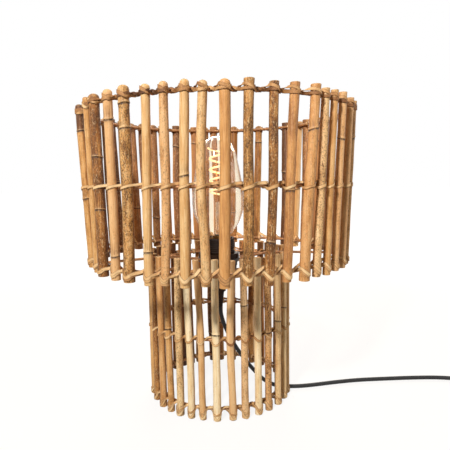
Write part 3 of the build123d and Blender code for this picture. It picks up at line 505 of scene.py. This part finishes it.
def spare_look(joint_heights, draw):
    """A look drawn by lot."""
    pale, brown = SPARE_TONES
    return Look(
        tone=min(max(draw.gauss(*SPARE_TONE), pale), brown),
        spots=draw.uniform(*SPARE_SPOTS) ** SPARE_SPOTS_POWER,
        blush=draw.uniform(*SPARE_BLUSH),
        joints=sorted(draw.sample(joint_heights, draw.choice((0, 1, 1)))),
        tip=draw.choice(("cut", "cut", "dome")),
        bow=draw.uniform(*SPARE_BOW),
        stain=draw.uniform(*SPARE_STAIN),
    )


def tier_canes(tier, sectors, first, looks, joint_heights, draw):
    """All canes of a tier from the left side round the front to the back, each with a look."""
    canes = []
    for sector in range(1, sectors + 1):
        canes += sticks(tier, f"{tier}_canes_{sector:02d}")
    canes.sort(key=lambda cane: (cane.angle - math.radians(first)) % (2 * math.pi))
    for index, cane in enumerate(canes):
        cane.turn = draw.uniform(0, FULL_TURN)
        spare = spare_look(joint_heights, draw)
        cane.look = looks[index] if index < len(looks) else spare
    return canes


def loft(bm, rows):
    """Close a grid into a tube through rows of points, cap both ends and return its loops of vertices."""
    sides = len(rows[0])
    grid = bmesh.ops.create_grid(bm, x_segments=sides, y_segments=len(rows) - 1, size=1)["verts"]
    loops = []
    seam = {}
    for number, row in enumerate(rows):
        loop = grid[number * (sides + 1):(number + 1) * (sides + 1)]
        for vert, spot in zip(loop, (*row, row[0])):
            vert.co = spot
        seam[loop[-1]] = loop[0]
        loops.append(loop[:-1])
    bmesh.ops.weld_verts(bm, targetmap=seam)
    for loop in (loops[0], loops[-1]):
        bmesh.ops.contextual_create(bm, geom=loop)
    return loops


def cane_rows(cane):
    """Heights along a cane, each with its share of the thickness and how much cut wood shows."""
    low, high = cane.foot.z, cane.tip.z
    count = round((high - low) / STEP)
    heights = {low + (high - low) * step / count for step in range(count + 1)}
    for joint in cane.look.joints:
        heights = {z for z in heights if abs(z / MM - joint) > JOINT_CLEAR}
        heights.update((joint + offset) * MM for offset in JOINT_ROWS)
    rows = [(low + up * MM, share, cut) for up, share, cut in FOOT_ROWS]
    rows += [(z, 1.0, 0) for z in sorted(heights) if low + FOOT_CLEAR < z < high - TIP_CLEAR]
    if cane.look.tip == "dome":
        cap = cane.radii[1] * DOME
        for lift in DOME_LIFTS:
            rows.append((high - cap + cap * lift, math.sqrt(1 - lift * lift), DOME_CUT * lift))
    else:
        rows += [(high - down * MM, share, cut) for down, share, cut in CUT_ROWS]
    return rows


def layer(bm, name):
    """Three numbers for each vertex, kept under this name."""
    layers = bm.verts.layers.float_vector
    return layers.get(name) or layers.new(name)


def build_cane(bm, cane):
    """One cane's skin as a lofted tube, with its look written on the vertices."""
    shaded_grain = layer(bm, "shaded_grain")
    wear_and_light = layer(bm, "wear_and_light")
    look = cane.look
    rows = cane_rows(cane)
    angles = [2 * math.pi * side / SIDES for side in range(SIDES)]
    rings = []
    for z, share, _ in rows:
        middle = cane.middle(z)
        radius = cane.radius(z) * share
        ring = []
        for angle in angles:
            reach = way_out(cane.angle) * math.cos(angle) + way_round(cane.angle) * math.sin(angle)
            spot = middle + reach * radius * cane.section(z, angle)
            ring.append(spot + Vector((0, 0, cane.slant(z, angle))))
        rings.append(ring)
    for (z, _, cut), loop in zip(rows, loft(bm, rings)):
        tone = look.tone
        if look.sleeve and z > look.sleeve[0] * MM:
            tone = look.sleeve[1]
        line_shade_and_lip_light, halo = cane.joint_marks_and_light(z)
        for angle, vert in zip(angles, loop):
            # Painted shade: the inner side of each cane, towards the lamp's middle, gets a browner tone.
            inside = max(-math.cos(angle), 0)
            vert[shaded_grain] = (tone + INNER_SIDE_SHADE * inside, look.spots, look.blush)
            vert[wear_and_light] = (line_shade_and_lip_light, halo, cut)


cane_skin = Finish("cane_skin", Specular_IOR_Level=0.35)
# The tone read here carries the painted shade on each cane's inner side.
tone, spots, blush = cane_skin.numbers(cane_skin.written("shaded_grain"))
line_shade_and_lip_light, halo, cut = cane_skin.numbers(cane_skin.written("wear_and_light"))
streaks = cane_skin.noise(900, 3.0, 0.6, upright=0.022)
patches = cane_skin.noise(120, 3.0, 0.6, upright=0.35)
specks = cane_skin.noise(1050, 2.0, 0.6, upright=0.55)
flecks = cane_skin.noise(720, 2.0, 0.6, upright=0.40)
freckles = cane_skin.noise(620, 0.0, upright=0.7)
pores = cane_skin.noise(1500, 1.0).clear(0.52, 0.62)
aged_and_shaded = tone + (patches - 0.5) * (0.40 + spots * 0.6) + (streaks - 0.5) * 0.75
skin = cane_skin.ramp(
    aged_and_shaded * 0.88 + 0.12,
    (0.0, linear(251, 230, 190)), (0.12, linear(240, 208, 156)), (0.31, linear(226, 184, 128)),
    (0.52, linear(206, 150, 86)), (0.74, linear(150, 96, 46)), (1.0, linear(78, 43, 18)),
)
pink = (blush.clear(0.4, 1.0) * 0.40).mix(skin, linear(216, 152, 100))
olive = (1 - blush.clear(0.0, 0.4)) * patches.clear(0.4, 0.65) * 0.45
green = olive.mix(pink, linear(146, 118, 62))
clouded = (patches.clear(0.48, 0.70) * spots * 0.6).mix(green, linear(112, 74, 38))
flecked = (flecks.clear(0.54, 0.66) * spots * 0.50).mix(clouded, linear(236, 204, 152))
crowd = spots.clear(0.0, 0.9) * (0.45 + patches.clear(0.36, 0.60) * 0.55)
speckles = specks.clear(0.58 - spots * 0.10, 0.68 - spots * 0.08) * crowd * 0.9
spotted = speckles.mix(flecked, linear(72, 42, 20))
dotted = (freckles.clear(0.70, 0.76) * (0.15 + spots * 0.5)).mix(spotted, linear(120, 78, 42))
stained = (halo * streaks.clear(0.40, 0.60) * 0.85).mix(dotted, linear(98, 58, 28))
# Painted highlight: the lip over a joint is made paler.
lip_highlit = ((0 - line_shade_and_lip_light).clear(0.1, 0.8) * 0.3).mix(stained, linear(238, 204, 152))
# The joint's own dark line, with painted shade spread just under it.
line_and_shade = line_shade_and_lip_light.clear(0.0, 1.0) * (0.55 + flecks.clear(0.35, 0.6) * 0.4)
jointed = line_and_shade.mix(lip_highlit, linear(46, 26, 13))
pith = (pores * 0.6).mix(linear(226, 188, 134), linear(150, 104, 60))
cane_skin.feed("Base Color", cut.mix(jointed, pith))
cane_skin.feed("Roughness", 0.40 + specks * 0.16 + cut * 0.3 + spots * 0.1)
cane_skin.bump(streaks * 0.6 + specks * spots * 0.8 + pores * cut, 0.35 * MM, 0.7)


def finish_piece(bm, name, body, material, slot, *nodes, sharp=38):
    """Turn a bmesh into a piece that rides a body, takes a finish and stands for CAD nodes. The slot is not
    used.
    """
    bmesh.ops.recalc_face_normals(bm, faces=bm.faces)
    mesh = bpy.data.meshes.new(name)
    bm.to_mesh(mesh)
    bm.free()
    mesh.shade_smooth()
    mesh.set_sharp_from_angle(angle=math.radians(sharp))
    mesh.materials.append(material.material)
    piece = bpy.data.objects.new(name, mesh)
    scene.collection.objects.link(piece)
    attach(piece, body)
    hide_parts(*nodes)
    return piece


draw = random.Random(41)
base_canes = tier_canes(
    "base", sectors=6, first=-84, looks=BASE_LOOKS, joint_heights=range(28, 150, 6), draw=draw
)
shade_canes = tier_canes(
    "shade", sectors=8, first=-77, looks=SHADE_LOOKS, joint_heights=range(190, 330, 6), draw=draw
)
for group in sorted({cane.group for cane in base_canes + shade_canes}):
    bm = bmesh.new()
    for cane in base_canes + shade_canes:
        if cane.group == group:
            build_cane(bm, cane)
    finish_piece(bm, f"{group}_skin", "lamp", cane_skin, "cane", group)

# Lashings
# Flat strips of split cane, wound on along each ring: across the front of a cane, over the wire and behind.
# They were wound on wet and have dried tight. Each ring is wound in its own way, as the photograph shows.
WIRE_R = 1.75 * MM
STRIP_THICK = 0.42 * MM
STRIP_SHAPE = (
    (-1, 0), (-0.88, 0.75), (0, 1.0), (0.88, 0.75), (1, 0), (0.88, -0.75), (0, -0.9), (-0.88, -0.75),
)
STRIP_WANDER = 0.40 * MM
STRIP_SLACK = 0.25 * MM
STRIP_CHANGE = 30
STRIP_DRIFT = 0.08
STRIP_TONES = 0.22
STRIP_WIDTHS = (0.72, 1.12)
STRIP_BETWEEN = 3

# A stop of a winding is on the "cane" or the "next" one (degrees from its front, millimetres up), on the
# "wire" (share of the gap, degrees round it) or "free" of both (share, millimetres up and out).
FALLING = (
    ("cane", -78, 2.9), ("cane", -42, 2.3), ("cane", -6, 1.0), ("cane", 32, -0.8), ("cane", 70, -2.3),
    ("wire", 0.24, -55), ("wire", 0.46, -100), ("wire", 0.62, -160), ("wire", 0.76, -220),
    ("wire", 0.90, -275),
)
CLIMBING = (
    ("cane", -78, -1.2), ("cane", -40, -2.4), ("cane", 0, -2.6), ("cane", 40, -1.4), ("cane", 76, 0.6),
    ("wire", 0.22, 40), ("wire", 0.44, 78), ("wire", 0.60, 140), ("wire", 0.76, 205), ("wire", 0.90, 275),
)
TWINE = (
    ("cane", -78, -1.2), ("cane", -40, -1.7), ("cane", 0, -1.5), ("cane", 40, -0.7), ("cane", 76, 0.4),
    ("wire", 0.20, 28), ("wire", 0.40, 12), ("wire", 0.60, -10), ("wire", 0.80, -26),
)
RISING = (
    ("cane", -80, -2.7), ("cane", -42, -1.7), ("cane", -4, -0.6), ("cane", 34, 0.5), ("cane", 74, 1.4),
    ("free", 0.36, 2.2, 2.5), ("free", 0.78, 2.8, 2.2), ("next", -118, 2.9), ("wire", 1.0, 128),
    ("wire", 0.97, 195), ("wire", 0.93, 262), ("wire", 0.93, 318),
)
TICK = (
    ("cane", -82, 2.4), ("cane", -52, 0.4), ("cane", -22, -1.9), ("cane", 6, -3.7), ("cane", 36, -2.4),
    ("cane", 68, -0.5), ("free", 0.22, 1.4, 3.6), ("free", 0.62, 4.0, 3.2), ("free", 0.96, 6.0, 3.0),
    ("next", -124, 6.2), ("wire", 1.0, 112), ("wire", 0.97, 195), ("wire", 0.90, 268), ("wire", 0.86, 345),
)
SLING = (
    ("cane", -80, -0.8), ("cane", -44, -3.4), ("cane", -4, -5.6), ("cane", 38, -4.8), ("cane", 78, -2.0),
    ("wire", 0.20, -28), ("wire", 0.40, -40), ("wire", 0.60, -40), ("wire", 0.80, -24),
)
SMILE = (
    ("cane", -82, 1.3), ("cane", -48, -0.8), ("cane", -12, -2.2), ("cane", 22, -2.0), ("cane", 54, -0.4),
    ("cane", 82, 1.3), ("free", 0.40, 2.9, 2.9), ("free", 0.80, 3.6, 2.3), ("next", -118, 3.6),
    ("wire", 1.0, 120), ("wire", 0.97, 195), ("wire", 0.92, 265), ("wire", 0.91, 335),
)
HOOK = (
    ("cane", -82, 0.2), ("cane", -50, -4.0), ("cane", -14, -7.6), ("cane", 20, -7.4), ("cane", 54, -3.8),
    ("cane", 82, 0.2), ("free", 0.40, 1.6, 3.0), ("free", 0.80, 2.2, 2.4), ("next", -118, 2.4),
    ("wire", 1.0, 120), ("wire", 0.97, 195), ("wire", 0.92, 265), ("wire", 0.91, 335),
)
WINDINGS = {
    ("base", "bottom"): ((HOOK, 1.4 * MM, 0.10), (CLIMBING, 1.0 * MM, 0.35)),
    ("base", "middle"): ((SMILE, 1.4 * MM, 0.35),),
    ("base", "top"): ((SMILE, 1.5 * MM, 0.45),),
    ("shade", "bottom"): ((TICK, 1.8 * MM, 0.14), (SLING, 1.3 * MM, 0.45)),
    ("shade", "middle"): ((RISING, 1.6 * MM, 0.25),),
    ("shade", "top"): ((FALLING, 1.7 * MM, 0.58), (TWINE, 1.9 * MM, 0.80)),
}


def hoop(node):
    """A ring's height and the radius of its wire's middle."""
    low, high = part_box(node)
    return (low[2] + high[2]) / 2, (high[0] - low[0]) / 2 - WIRE_R


def strip_stops(canes, ring, winding, draw):
    """Where a strip goes round a ring: each stop's place and the way its face looks."""
    height, radius = hoop(ring)
    stops = []
    for cane, following in zip(canes, canes[1:] + canes[:1]):
        reach = (cane.radius(height) + STRIP_THICK) / radius
        behind = (following.radius(height) + STRIP_THICK) / radius
        gap = (following.angle - cane.angle) % (2 * math.pi) - reach - behind
        lift = draw.gauss(0, STRIP_WANDER)
        slack = draw.uniform(0, STRIP_SLACK)
        for where, along, turn, *out in winding:
            if where in ("cane", "next"):
                held = cane if where == "cane" else following
                angle = math.radians(along)
                z = height + turn * MM + lift
                face = way_out(held.angle) * math.cos(angle) + way_round(held.angle) * math.sin(angle)
                stops.append((held.middle(z) + face * (held.radius(z) + STRIP_THICK + slack), face))
                continue
            angle = cane.angle + reach + gap * along
            face = way_out(angle)
            if where == "free":
                level = Vector((0, 0, height + turn * MM + lift))
                stops.append((face * (radius + out[0] * MM) + level, face))
            else:
                tilt = math.radians(turn)
                middle = face * radius + Vector((0, 0, height))
                face = face * math.cos(tilt) + Vector((0, 0, math.sin(tilt)))
                stops.append((middle + face * (WIRE_R + STRIP_THICK + slack), face))
    return stops


def smooth_share(t):
    """How much each of four neighbouring points weighs, this far from the second to the third."""
    return (
        (-t + 2 * t**2 - t**3) / 2, (2 - 5 * t**2 + 3 * t**3) / 2,
        (t + 4 * t**2 - 3 * t**3) / 2, (-(t**2) + t**3) / 2,
    )


def smooth_between(stops, count):
    """Smooth points through closed stops, the faces turned along with them."""
    rounded = []
    for index in range(len(stops)):
        near = [stops[(index + step) % len(stops)] for step in (-1, 0, 1, 2)]
        for step in range(count):
            weights = smooth_share(step / count)
            spot = sum((stop[0] * weight for stop, weight in zip(near, weights)), Vector())
            face = sum((stop[1] * weight for stop, weight in zip(near, weights)), Vector())
            rounded.append((spot, face.normalized()))
    return rounded


def build_strip(bm, course, half_width, plain, draw):
    """A flat strip along a course, thicker in its middle, with its length and tone written on it."""
    fibre = layer(bm, "fibre")
    rows = []
    marks = []
    along = 0.0
    shade = plain
    width = 1.0
    for index, (spot, face) in enumerate(course):
        before = course[index - 1][0] if index else course[0][0]
        after = course[min(index + 1, len(course) - 1)][0]
        run = (after - before).normalized()
        side = run.cross(face).normalized()
        face = side.cross(run)
        along += (spot - before).length
        if index % STRIP_CHANGE == 0:
            next_shade = draw.gauss(plain, STRIP_TONES)
            next_width = draw.uniform(*STRIP_WIDTHS)
        shade += (next_shade - shade) * STRIP_DRIFT
        width += (next_width - width) * STRIP_DRIFT
        rows.append(
            [spot + side * (x * half_width * width) + face * (y * STRIP_THICK) for x, y in STRIP_SHAPE]
        )
        marks.append((along, shade))
    for loop, (length, shade) in zip(loft(bm, rows), marks):
        for vert, (x, _) in zip(loop, STRIP_SHAPE):
            vert[fibre] = (length, x, shade)


FIBRE_SCALE = (34.0, 3.4, 7.0)
split_cane = Finish("split_cane", Specular_IOR_Level=0.3)
fibre = split_cane.written("fibre")
width, shade = split_cane.numbers(fibre)[1:]
run = split_cane.start.node("ShaderNodeVectorMath", {0: fibre, 1: FIBRE_SCALE}, operation="MULTIPLY")
threads = split_cane.noise(2.2, 3.0, 0.65, place=run)
blots = split_cane.noise(160, 3.0, 0.6)
strip_skin = split_cane.ramp(
    shade * 0.9 + (threads - 0.5) * 0.75 + (blots - 0.5) * 0.55,
    (0.0, linear(238, 202, 150)), (0.25, linear(220, 174, 118)), (0.50, linear(190, 138, 86)),
    (0.75, linear(146, 98, 56)), (1.0, linear(88, 54, 28)),
)
# Painted shade: both edges of every strip are drawn darker.
edge = abs(width).clear(0.50, 1.0) * 0.6
split_cane.feed("Base Color", edge.mix(strip_skin, linear(92, 58, 32)))
split_cane.feed("Roughness", 0.46 + threads * 0.2)
split_cane.bump(threads, 0.35 * MM, 0.8)

for tier, canes in (("base", base_canes), ("shade", shade_canes)):
    for ring in RINGS:
        bm = bmesh.new()
        for winding, half_width, plain in WINDINGS[tier, ring]:
            stops = strip_stops(canes, f"{tier}_{ring}_ring", winding, draw)
            build_strip(bm, smooth_between(stops, STRIP_BETWEEN), half_width, plain, draw)
        finish_piece(bm, f"{tier}_{ring}_strip", "lamp", split_cane, "split_cane", f"{tier}_{ring}_lashing")

# Spokes and carrier rings
# Bent rods of the same browned wire run from each tier's ring to a flat washer, which is lacquered black
# and clamped on the lamp holder.
black_lacquer = Finish("black_lacquer", Coat_Weight=0.2, Coat_Roughness=0.3)
mottle = black_lacquer.noise(240, 3.0)
black_lacquer.mottled(mottle, (24, 19, 16), (46, 38, 32), 0.35, 0.25)
black_lacquer.bump(mottle, 0.1 * MM, 0.4)
for tier in ("base", "shade"):
    paint_node(f"{tier}_spokes", browned_wire)
    paint_node(f"{tier}_carrier_ring", black_lacquer)

# Lamp holder
# Black moulded holder for a 27 mm screw cap: a domed cap with the cord's grip, a sleeve threaded on the
# outside, and a ring nut that clamps both tiers on its shoulder. A ceramic core and brass contacts are
# inside. An outline goes by radius and height, a thread by root, crest, foot, head and pitch (millimetres).
SLEEVE_SIDE = (
    (17.4, 157.0), (22.6, 157.0), (23.0, 157.4), (23.0, 162.6), (22.6, 163.0), (19.0, 163.0), (19.0, 173.6),
)
SLEEVE_THREAD = (19.0, 19.7, 173.6, 190.6, 2.4)
SLEEVE_RIM = ((19.0, 190.6), (19.7, 191.0), (19.2, 191.7), (18.6, 192.0), (17.8, 192.0), (17.4, 191.6))
THREAD_SHAPE = ((0.2, 0.5), (0.35, 0.93), (0.5, 1.0), (0.65, 0.93), (0.8, 0.5), (1.0, 0.0))
TURN_STEPS = 64
warm_lit_black_plastic = Finish("warm_lit_black_plastic", Specular_IOR_Level=0.16)
moulding = warm_lit_black_plastic.noise(1900, 2.0)
cloud = warm_lit_black_plastic.noise(90, 3.0)
# Painted warm light: the black is tinted brown, as the warm glow of the bulb and canes on it.
warm_lit_black_plastic.mottled(cloud, (30, 16, 8), (48, 29, 16), 0.40, 0.2)
warm_lit_black_plastic.bump(moulding, 0.06 * MM, 0.5)
for node in ("holder_cap", "holder_ring_nut", "cord_grip"):
    paint_node(node, warm_lit_black_plastic)


def spun(bm, outline, steps=TURN_STEPS):
    """Turn an outline of radius and height, in millimetres, round the lamp's axis."""
    verts = [bm.verts.new((radius * MM, 0, height * MM)) for radius, height in outline]
    edges = [bm.edges.new(pair) for pair in zip(verts, verts[1:])]
    bmesh.ops.spin(
        bm, geom=verts + edges, cent=(0, 0, 0), axis=(0, 0, 1), dvec=(0, 0, 0), angle=2 * math.pi,
        steps=steps, use_merge=True, use_duplicate=False,
    )
    bmesh.ops.remove_doubles(bm, verts=bm.verts, dist=SAME_POINT)


def thread(root, crest, low, high, pitch):
    """The outline of a round-crested thread between two heights."""
    points = []
    for turn in range(int((high - low) / pitch)):
        for share, rise in THREAD_SHAPE:
            points.append((root + (crest - root) * rise, low + (turn + share) * pitch))
    return points


bm = bmesh.new()
spun(bm, [*SLEEVE_SIDE, *thread(*SLEEVE_THREAD), *SLEEVE_RIM, SLEEVE_SIDE[0]])
finish_piece(bm, "holder_threaded_sleeve", "lamp", warm_lit_black_plastic, "holder_black", "holder_sleeve", sharp=50)

glaze = Finish("white_ceramic", Coat_Weight=0.4, Coat_Roughness=0.1)
glaze_cloud = glaze.noise(200, 2.0)
glaze.mottled(glaze_cloud, (226, 222, 210), (240, 237, 228), 0.25, 0.1)
paint_node("holder_core", glaze)
brass = Finish("brass", Metallic=1.0)
brass_stain = brass.noise(350, 3.0)
brass.mottled(brass_stain, (196, 152, 84), (160, 112, 56), 0.22, 0.25, full=0.75)
for node in ("holder_thread_shell", "holder_centre_contact", "holder_terminal_screws"):
    paint_node(node, brass)

# Bulb
# Clear glass with a faint warm tint, blown to a long drop shape and cemented into a brass screw cap with a
# rolled thread. A glass stem carries the lead wires and the lit spiral filament.
GLASS_SIDE = (
    (12.4, 183.0), (12.4, 191.0), (14.4, 195.0), (18.5, 200.0), (24.0, 207.5), (28.0, 216.0), (31.2, 226.0),
    (32.0, 236.0), (31.3, 249.0), (29.5, 262.0), (26.4, 279.0), (22.5, 296.0), (19.6, 303.5), (16.4, 308.4),
    (12.0, 312.2), (6.4, 315.2), (0.0, 316.0),
)
GLASS_WALL = 0.5
GLASS_DOME = 300
CAP_FOOT = ((12.5, 173.0), (8.9, 170.8), (9.0, 170.2), (12.85, 172.5))
CAP_TOP = ((13.0, 190.7), (12.9, 191.0), (12.5, 191.0), (12.5, 173.0))
CAP_THREAD = (12.85, 13.4, 172.5, 190.7, 3.629)
FILAMENT_R = 11.0
FILAMENT_WAIST = 9.6
FILAMENT_LOW = 242.0
FILAMENT_PITCH = 13.4
FILAMENT_TURNS = 4.5
FILAMENT_HALF = 1.2
FILAMENT_STEPS = 32
FILAMENT_SIDES = 8
FILAMENT_FLARE = 8
BULB_LIGHT = 0.10
BULB_LIGHT_COLOUR = (255, 190, 110)
BULB_LIGHT_R = 0.012
BULB_LIGHT_PLACE = (0, 0, 0.268)


def rounded_outline(corners, between=3):
    """Smooth points through an open outline."""
    padded = [corners[0], *corners, corners[-1]]
    points = []
    for near in zip(padded, padded[1:], padded[2:], padded[3:]):
        for step in range(between):
            weights = smooth_share(step / between)
            points.append(tuple(sum(p[axis] * w for p, w in zip(near, weights)) for axis in (0, 1)))
    return points + [corners[-1]]


glass_out = rounded_outline(GLASS_SIDE)
glass_in = [
    (max(radius - GLASS_WALL, 0), height - GLASS_WALL * (height > GLASS_DOME))
    for radius, height in glass_out
]
bm = bmesh.new()
spun(bm, glass_out + glass_in[::-1] + glass_out[:1])
warm_glass = Finish("warm_glass", Transmission_Weight=1.0, IOR=1.45, Roughness=0.0)
smoke = warm_glass.noise(30, 2.0)
warm_glass.feed(
    "Base Color", warm_glass.ramp(smoke, (0.2, linear(255, 249, 238)), (0.9, linear(254, 242, 222)))
)
bulb_glass = finish_piece(bm, "bulb_blown_glass", "bulb", warm_glass, "bulb_glass", "bulb_glass", sharp=60)
bulb_glass.visible_shadow = False

bm = bmesh.new()
spun(bm, [*CAP_FOOT, *thread(*CAP_THREAD), *CAP_TOP])
finish_piece(bm, "bulb_rolled_cap", "bulb", brass, "bulb_cap", "bulb_cap", sharp=50)

clear_glass = Finish("clear_glass", Transmission_Weight=1.0, IOR=1.12)
seeds = clear_glass.noise(260, 2.0)
clear_glass.mottled(seeds, (252, 250, 244), (240, 236, 226), 0.02, 0.06)
paint_node("bulb_stem", clear_glass)
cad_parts["bulb_stem"].visible_shadow = False
paint_node("bulb_cap_insulator", warm_lit_black_plastic)
paint_node("bulb_tip_contact", browned_wire)
paint_node("bulb_lead_wires", browned_wire)

rows = []
filament_rows = round(FILAMENT_TURNS * FILAMENT_STEPS)
for step in range(filament_rows + 1):
    turn = 2 * math.pi * step / FILAMENT_STEPS
    flare = abs(2 * step / filament_rows - 1) ** FILAMENT_FLARE
    reach = FILAMENT_WAIST + (FILAMENT_R - FILAMENT_WAIST) * flare
    height = FILAMENT_LOW + FILAMENT_PITCH * step / FILAMENT_STEPS
    row = []
    for side in range(FILAMENT_SIDES):
        angle = 2 * math.pi * side / FILAMENT_SIDES
        out = way_round(turn) * (reach + FILAMENT_HALF * math.cos(angle))
        row.append((out + Vector((0, 0, height + FILAMENT_HALF * math.sin(angle)))) * MM)
    rows.append(row)
bm = bmesh.new()
loft(bm, rows)
glowing = Finish("glowing_filament", Emission_Strength=0.96)
heat = glowing.noise(90, 2.0)
glowing.feed("Base Color", glowing.ramp(heat, (0.3, linear(150, 116, 70)), (0.7, linear(176, 142, 92))))
glowing.feed(
    "Emission Color", glowing.ramp(heat, (0.3, linear(255, 232, 180)), (0.7, linear(255, 242, 206)))
)
finish_piece(bm, "bulb_lit_spiral", "bulb", glowing, "filament", "bulb_filament", sharp=80)

warm = bpy.data.objects.new("bulb_light", bpy.data.lights.new("bulb_light", "POINT"))
warm.data.energy = BULB_LIGHT
warm.data.color = linear(*BULB_LIGHT_COLOUR)[:3]
warm.data.shadow_soft_size = BULB_LIGHT_R
warm.location = BULB_LIGHT_PLACE
warm.visible_camera = False
warm.visible_glossy = False
warm.visible_transmission = False
scene.collection.objects.link(warm)

# Cord
# Round black lead of five millimetres, 1.75 m long: out of the grip, down inside the base, under the bottom
# ring and along the table to the switch, then put away in a two-layer coil, held by a rubber band, that ends
# in the plug. Routes are in millimetres.
CORD_R = 2.5 * MM
FLOOR_REST = 2.6
SWITCH_X = 338.0
SWITCH_MID = 9.5
CORD_TO_SWITCH = (
    (0, 0, 124), (0, 0, 103), (3.5, -0.4, 84.5), (11, -1.2, 66.5), (20.5, -2.6, 50), (31, -4.4, 35),
    (42.5, -6.6, 21.5), (55, -9, 9), (69, -11.4, 3.2), (83.5, -13, FLOOR_REST), (99.8, -13.4, FLOOR_REST),
    (119.5, -10.2, FLOOR_REST), (146.6, -4.4, FLOOR_REST), (178, 0.6, FLOOR_REST), (212, 2.2, FLOOR_REST),
    (248, 3.6, FLOOR_REST), (282, 3, FLOOR_REST), (307, -3, 3.0), (325, -12, 5.2), (335.5, -22, 8.6),
    (SWITCH_X, -34, SWITCH_MID), (SWITCH_X, -44, SWITCH_MID),
)
CORD_TO_COIL = (
    (SWITCH_X, -96, SWITCH_MID), (SWITCH_X, -107, SWITCH_MID), (337.6, -121, 6.4), (337, -135, 3.3),
    (337, -147, 3.3),
)
CORD_TO_PLUG = (
    (285.8, -187.8, 8.8), (274.8, -187.8, 8.15), (264.8, -187.8, 7.5), (254.8, -187.8, 7.5),
)
COIL_CENTRE = (299.8, -152.0)
COIL_INNER = 16.2
COIL_PITCH = 5.6
COIL_IN = 3.75
COIL_TURNS = 7.25
COIL_LAYERS = (3.3, 8.8)
COIL_STEPS = 16
BAND_STEPS = 64
BAND_SQUARE = 0.4
BAND_WIDE = 0.9
BAND_TONE = 0.5


def coil_points():
    """The coil's turns: in on the lower layer, half a turn up, and out on the upper layer."""
    points = []
    for step in range(round(COIL_TURNS * COIL_STEPS) + 1):
        turns = step / COIL_STEPS
        radius = COIL_INNER + COIL_PITCH * abs(turns - COIL_IN)
        angle = -2 * math.pi * turns
        climb = min(max(0.5 + 2 * (turns - COIL_IN), 0), 1)
        height = COIL_LAYERS[0] + (COIL_LAYERS[1] - COIL_LAYERS[0]) * climb
        points.append(
            (COIL_CENTRE[0] + radius * math.cos(angle), COIL_CENTRE[1] + radius * math.sin(angle), height)
        )
    return points


rubber = Finish("black_rubber", Specular_IOR_Level=0.4)
rubber_skin = rubber.noise(700, 3.0)
rubber.mottled(rubber_skin, (17, 17, 17), (34, 33, 32), 0.36, 0.22)
rubber.bump(rubber_skin, 0.1 * MM, 0.4)


def lay_cord(name, route, *nodes):
    """A cord as one smooth spline along its route."""
    curve = bpy.data.curves.new(name, "CURVE")
    curve.dimensions = "3D"
    curve.bevel_depth = CORD_R
    curve.bevel_resolution = 5
    curve.resolution_u = 6
    curve.use_fill_caps = True
    spline = curve.splines.new("NURBS")
    spline.points.add(len(route) - 1)
    for point, spot in zip(spline.points, route):
        point.co = (*(value * MM for value in spot), 1)
    spline.order_u = 3
    spline.use_endpoint_u = True
    curve.materials.append(rubber.material)
    piece = bpy.data.objects.new(name, curve)
    scene.collection.objects.link(piece)
    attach(piece, "lamp")
    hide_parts(*nodes)
    return piece


lead = lay_cord("lamp_lead", CORD_TO_SWITCH, "cord_to_switch")
tail_route = (*CORD_TO_COIL, *coil_points(), *CORD_TO_PLUG)
tail = lay_cord("lamp_lead_tail", tail_route, "cord_to_coil", "cord_coil", "cord_to_plug")
low, high = (Vector(corner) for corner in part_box("coil_tie"))
middle = (low + high) / 2
half = (high - low) / 2
course = []
for step in range(BAND_STEPS + 1):
    turn = 2 * math.pi * step / BAND_STEPS
    face = Vector((math.cos(turn), 0, math.sin(turn)))
    out = Vector(math.copysign(abs(side) ** BAND_SQUARE, side) for side in face)
    reach = Vector((out.x * (half.x - STRIP_THICK), 0, out.z * (half.z - STRIP_THICK)))
    course.append((middle + reach, face))
bm = bmesh.new()
build_strip(bm, course, half.y * BAND_WIDE, BAND_TONE, draw)
band = finish_piece(bm, "coil_rubber_band", "lamp", rubber, "tie", "coil_tie")

# Switch and plug
# Black moulded switch in the lead, screwed together from two shells round a rocker on a steel pin, and a
# flat plug with two plated pins, sleeved at their roots. These are CAD nodes that keep their shapes.
matt_black = Finish("matt_black", Specular_IOR_Level=0.35)
matt_grain = matt_black.noise(1600, 2.0)
matt_cloud = matt_black.noise(110, 3.0)
matt_black.mottled(matt_cloud, (17, 17, 18), (33, 32, 32), 0.38, 0.2)
matt_black.bump(matt_grain, 0.08 * MM, 0.5)
for node in ("switch_lower_shell", "switch_upper_shell", "switch_rocker", "plug_body", "plug_pin_sleeves"):
    paint_node(node, matt_black)
paint_node("plug_strain_relief", rubber)
paint_node("switch_contacts", brass)
nickel = Finish("nickel_plate", Metallic=1.0)
nickel_stain = nickel.noise(500, 3.0)
nickel.mottled(nickel_stain, (214, 206, 190), (186, 174, 152), 0.18, 0.2)
for node in ("plug_pins", "switch_pivot_pin", "switch_screws"):
    paint_node(node, nickel)
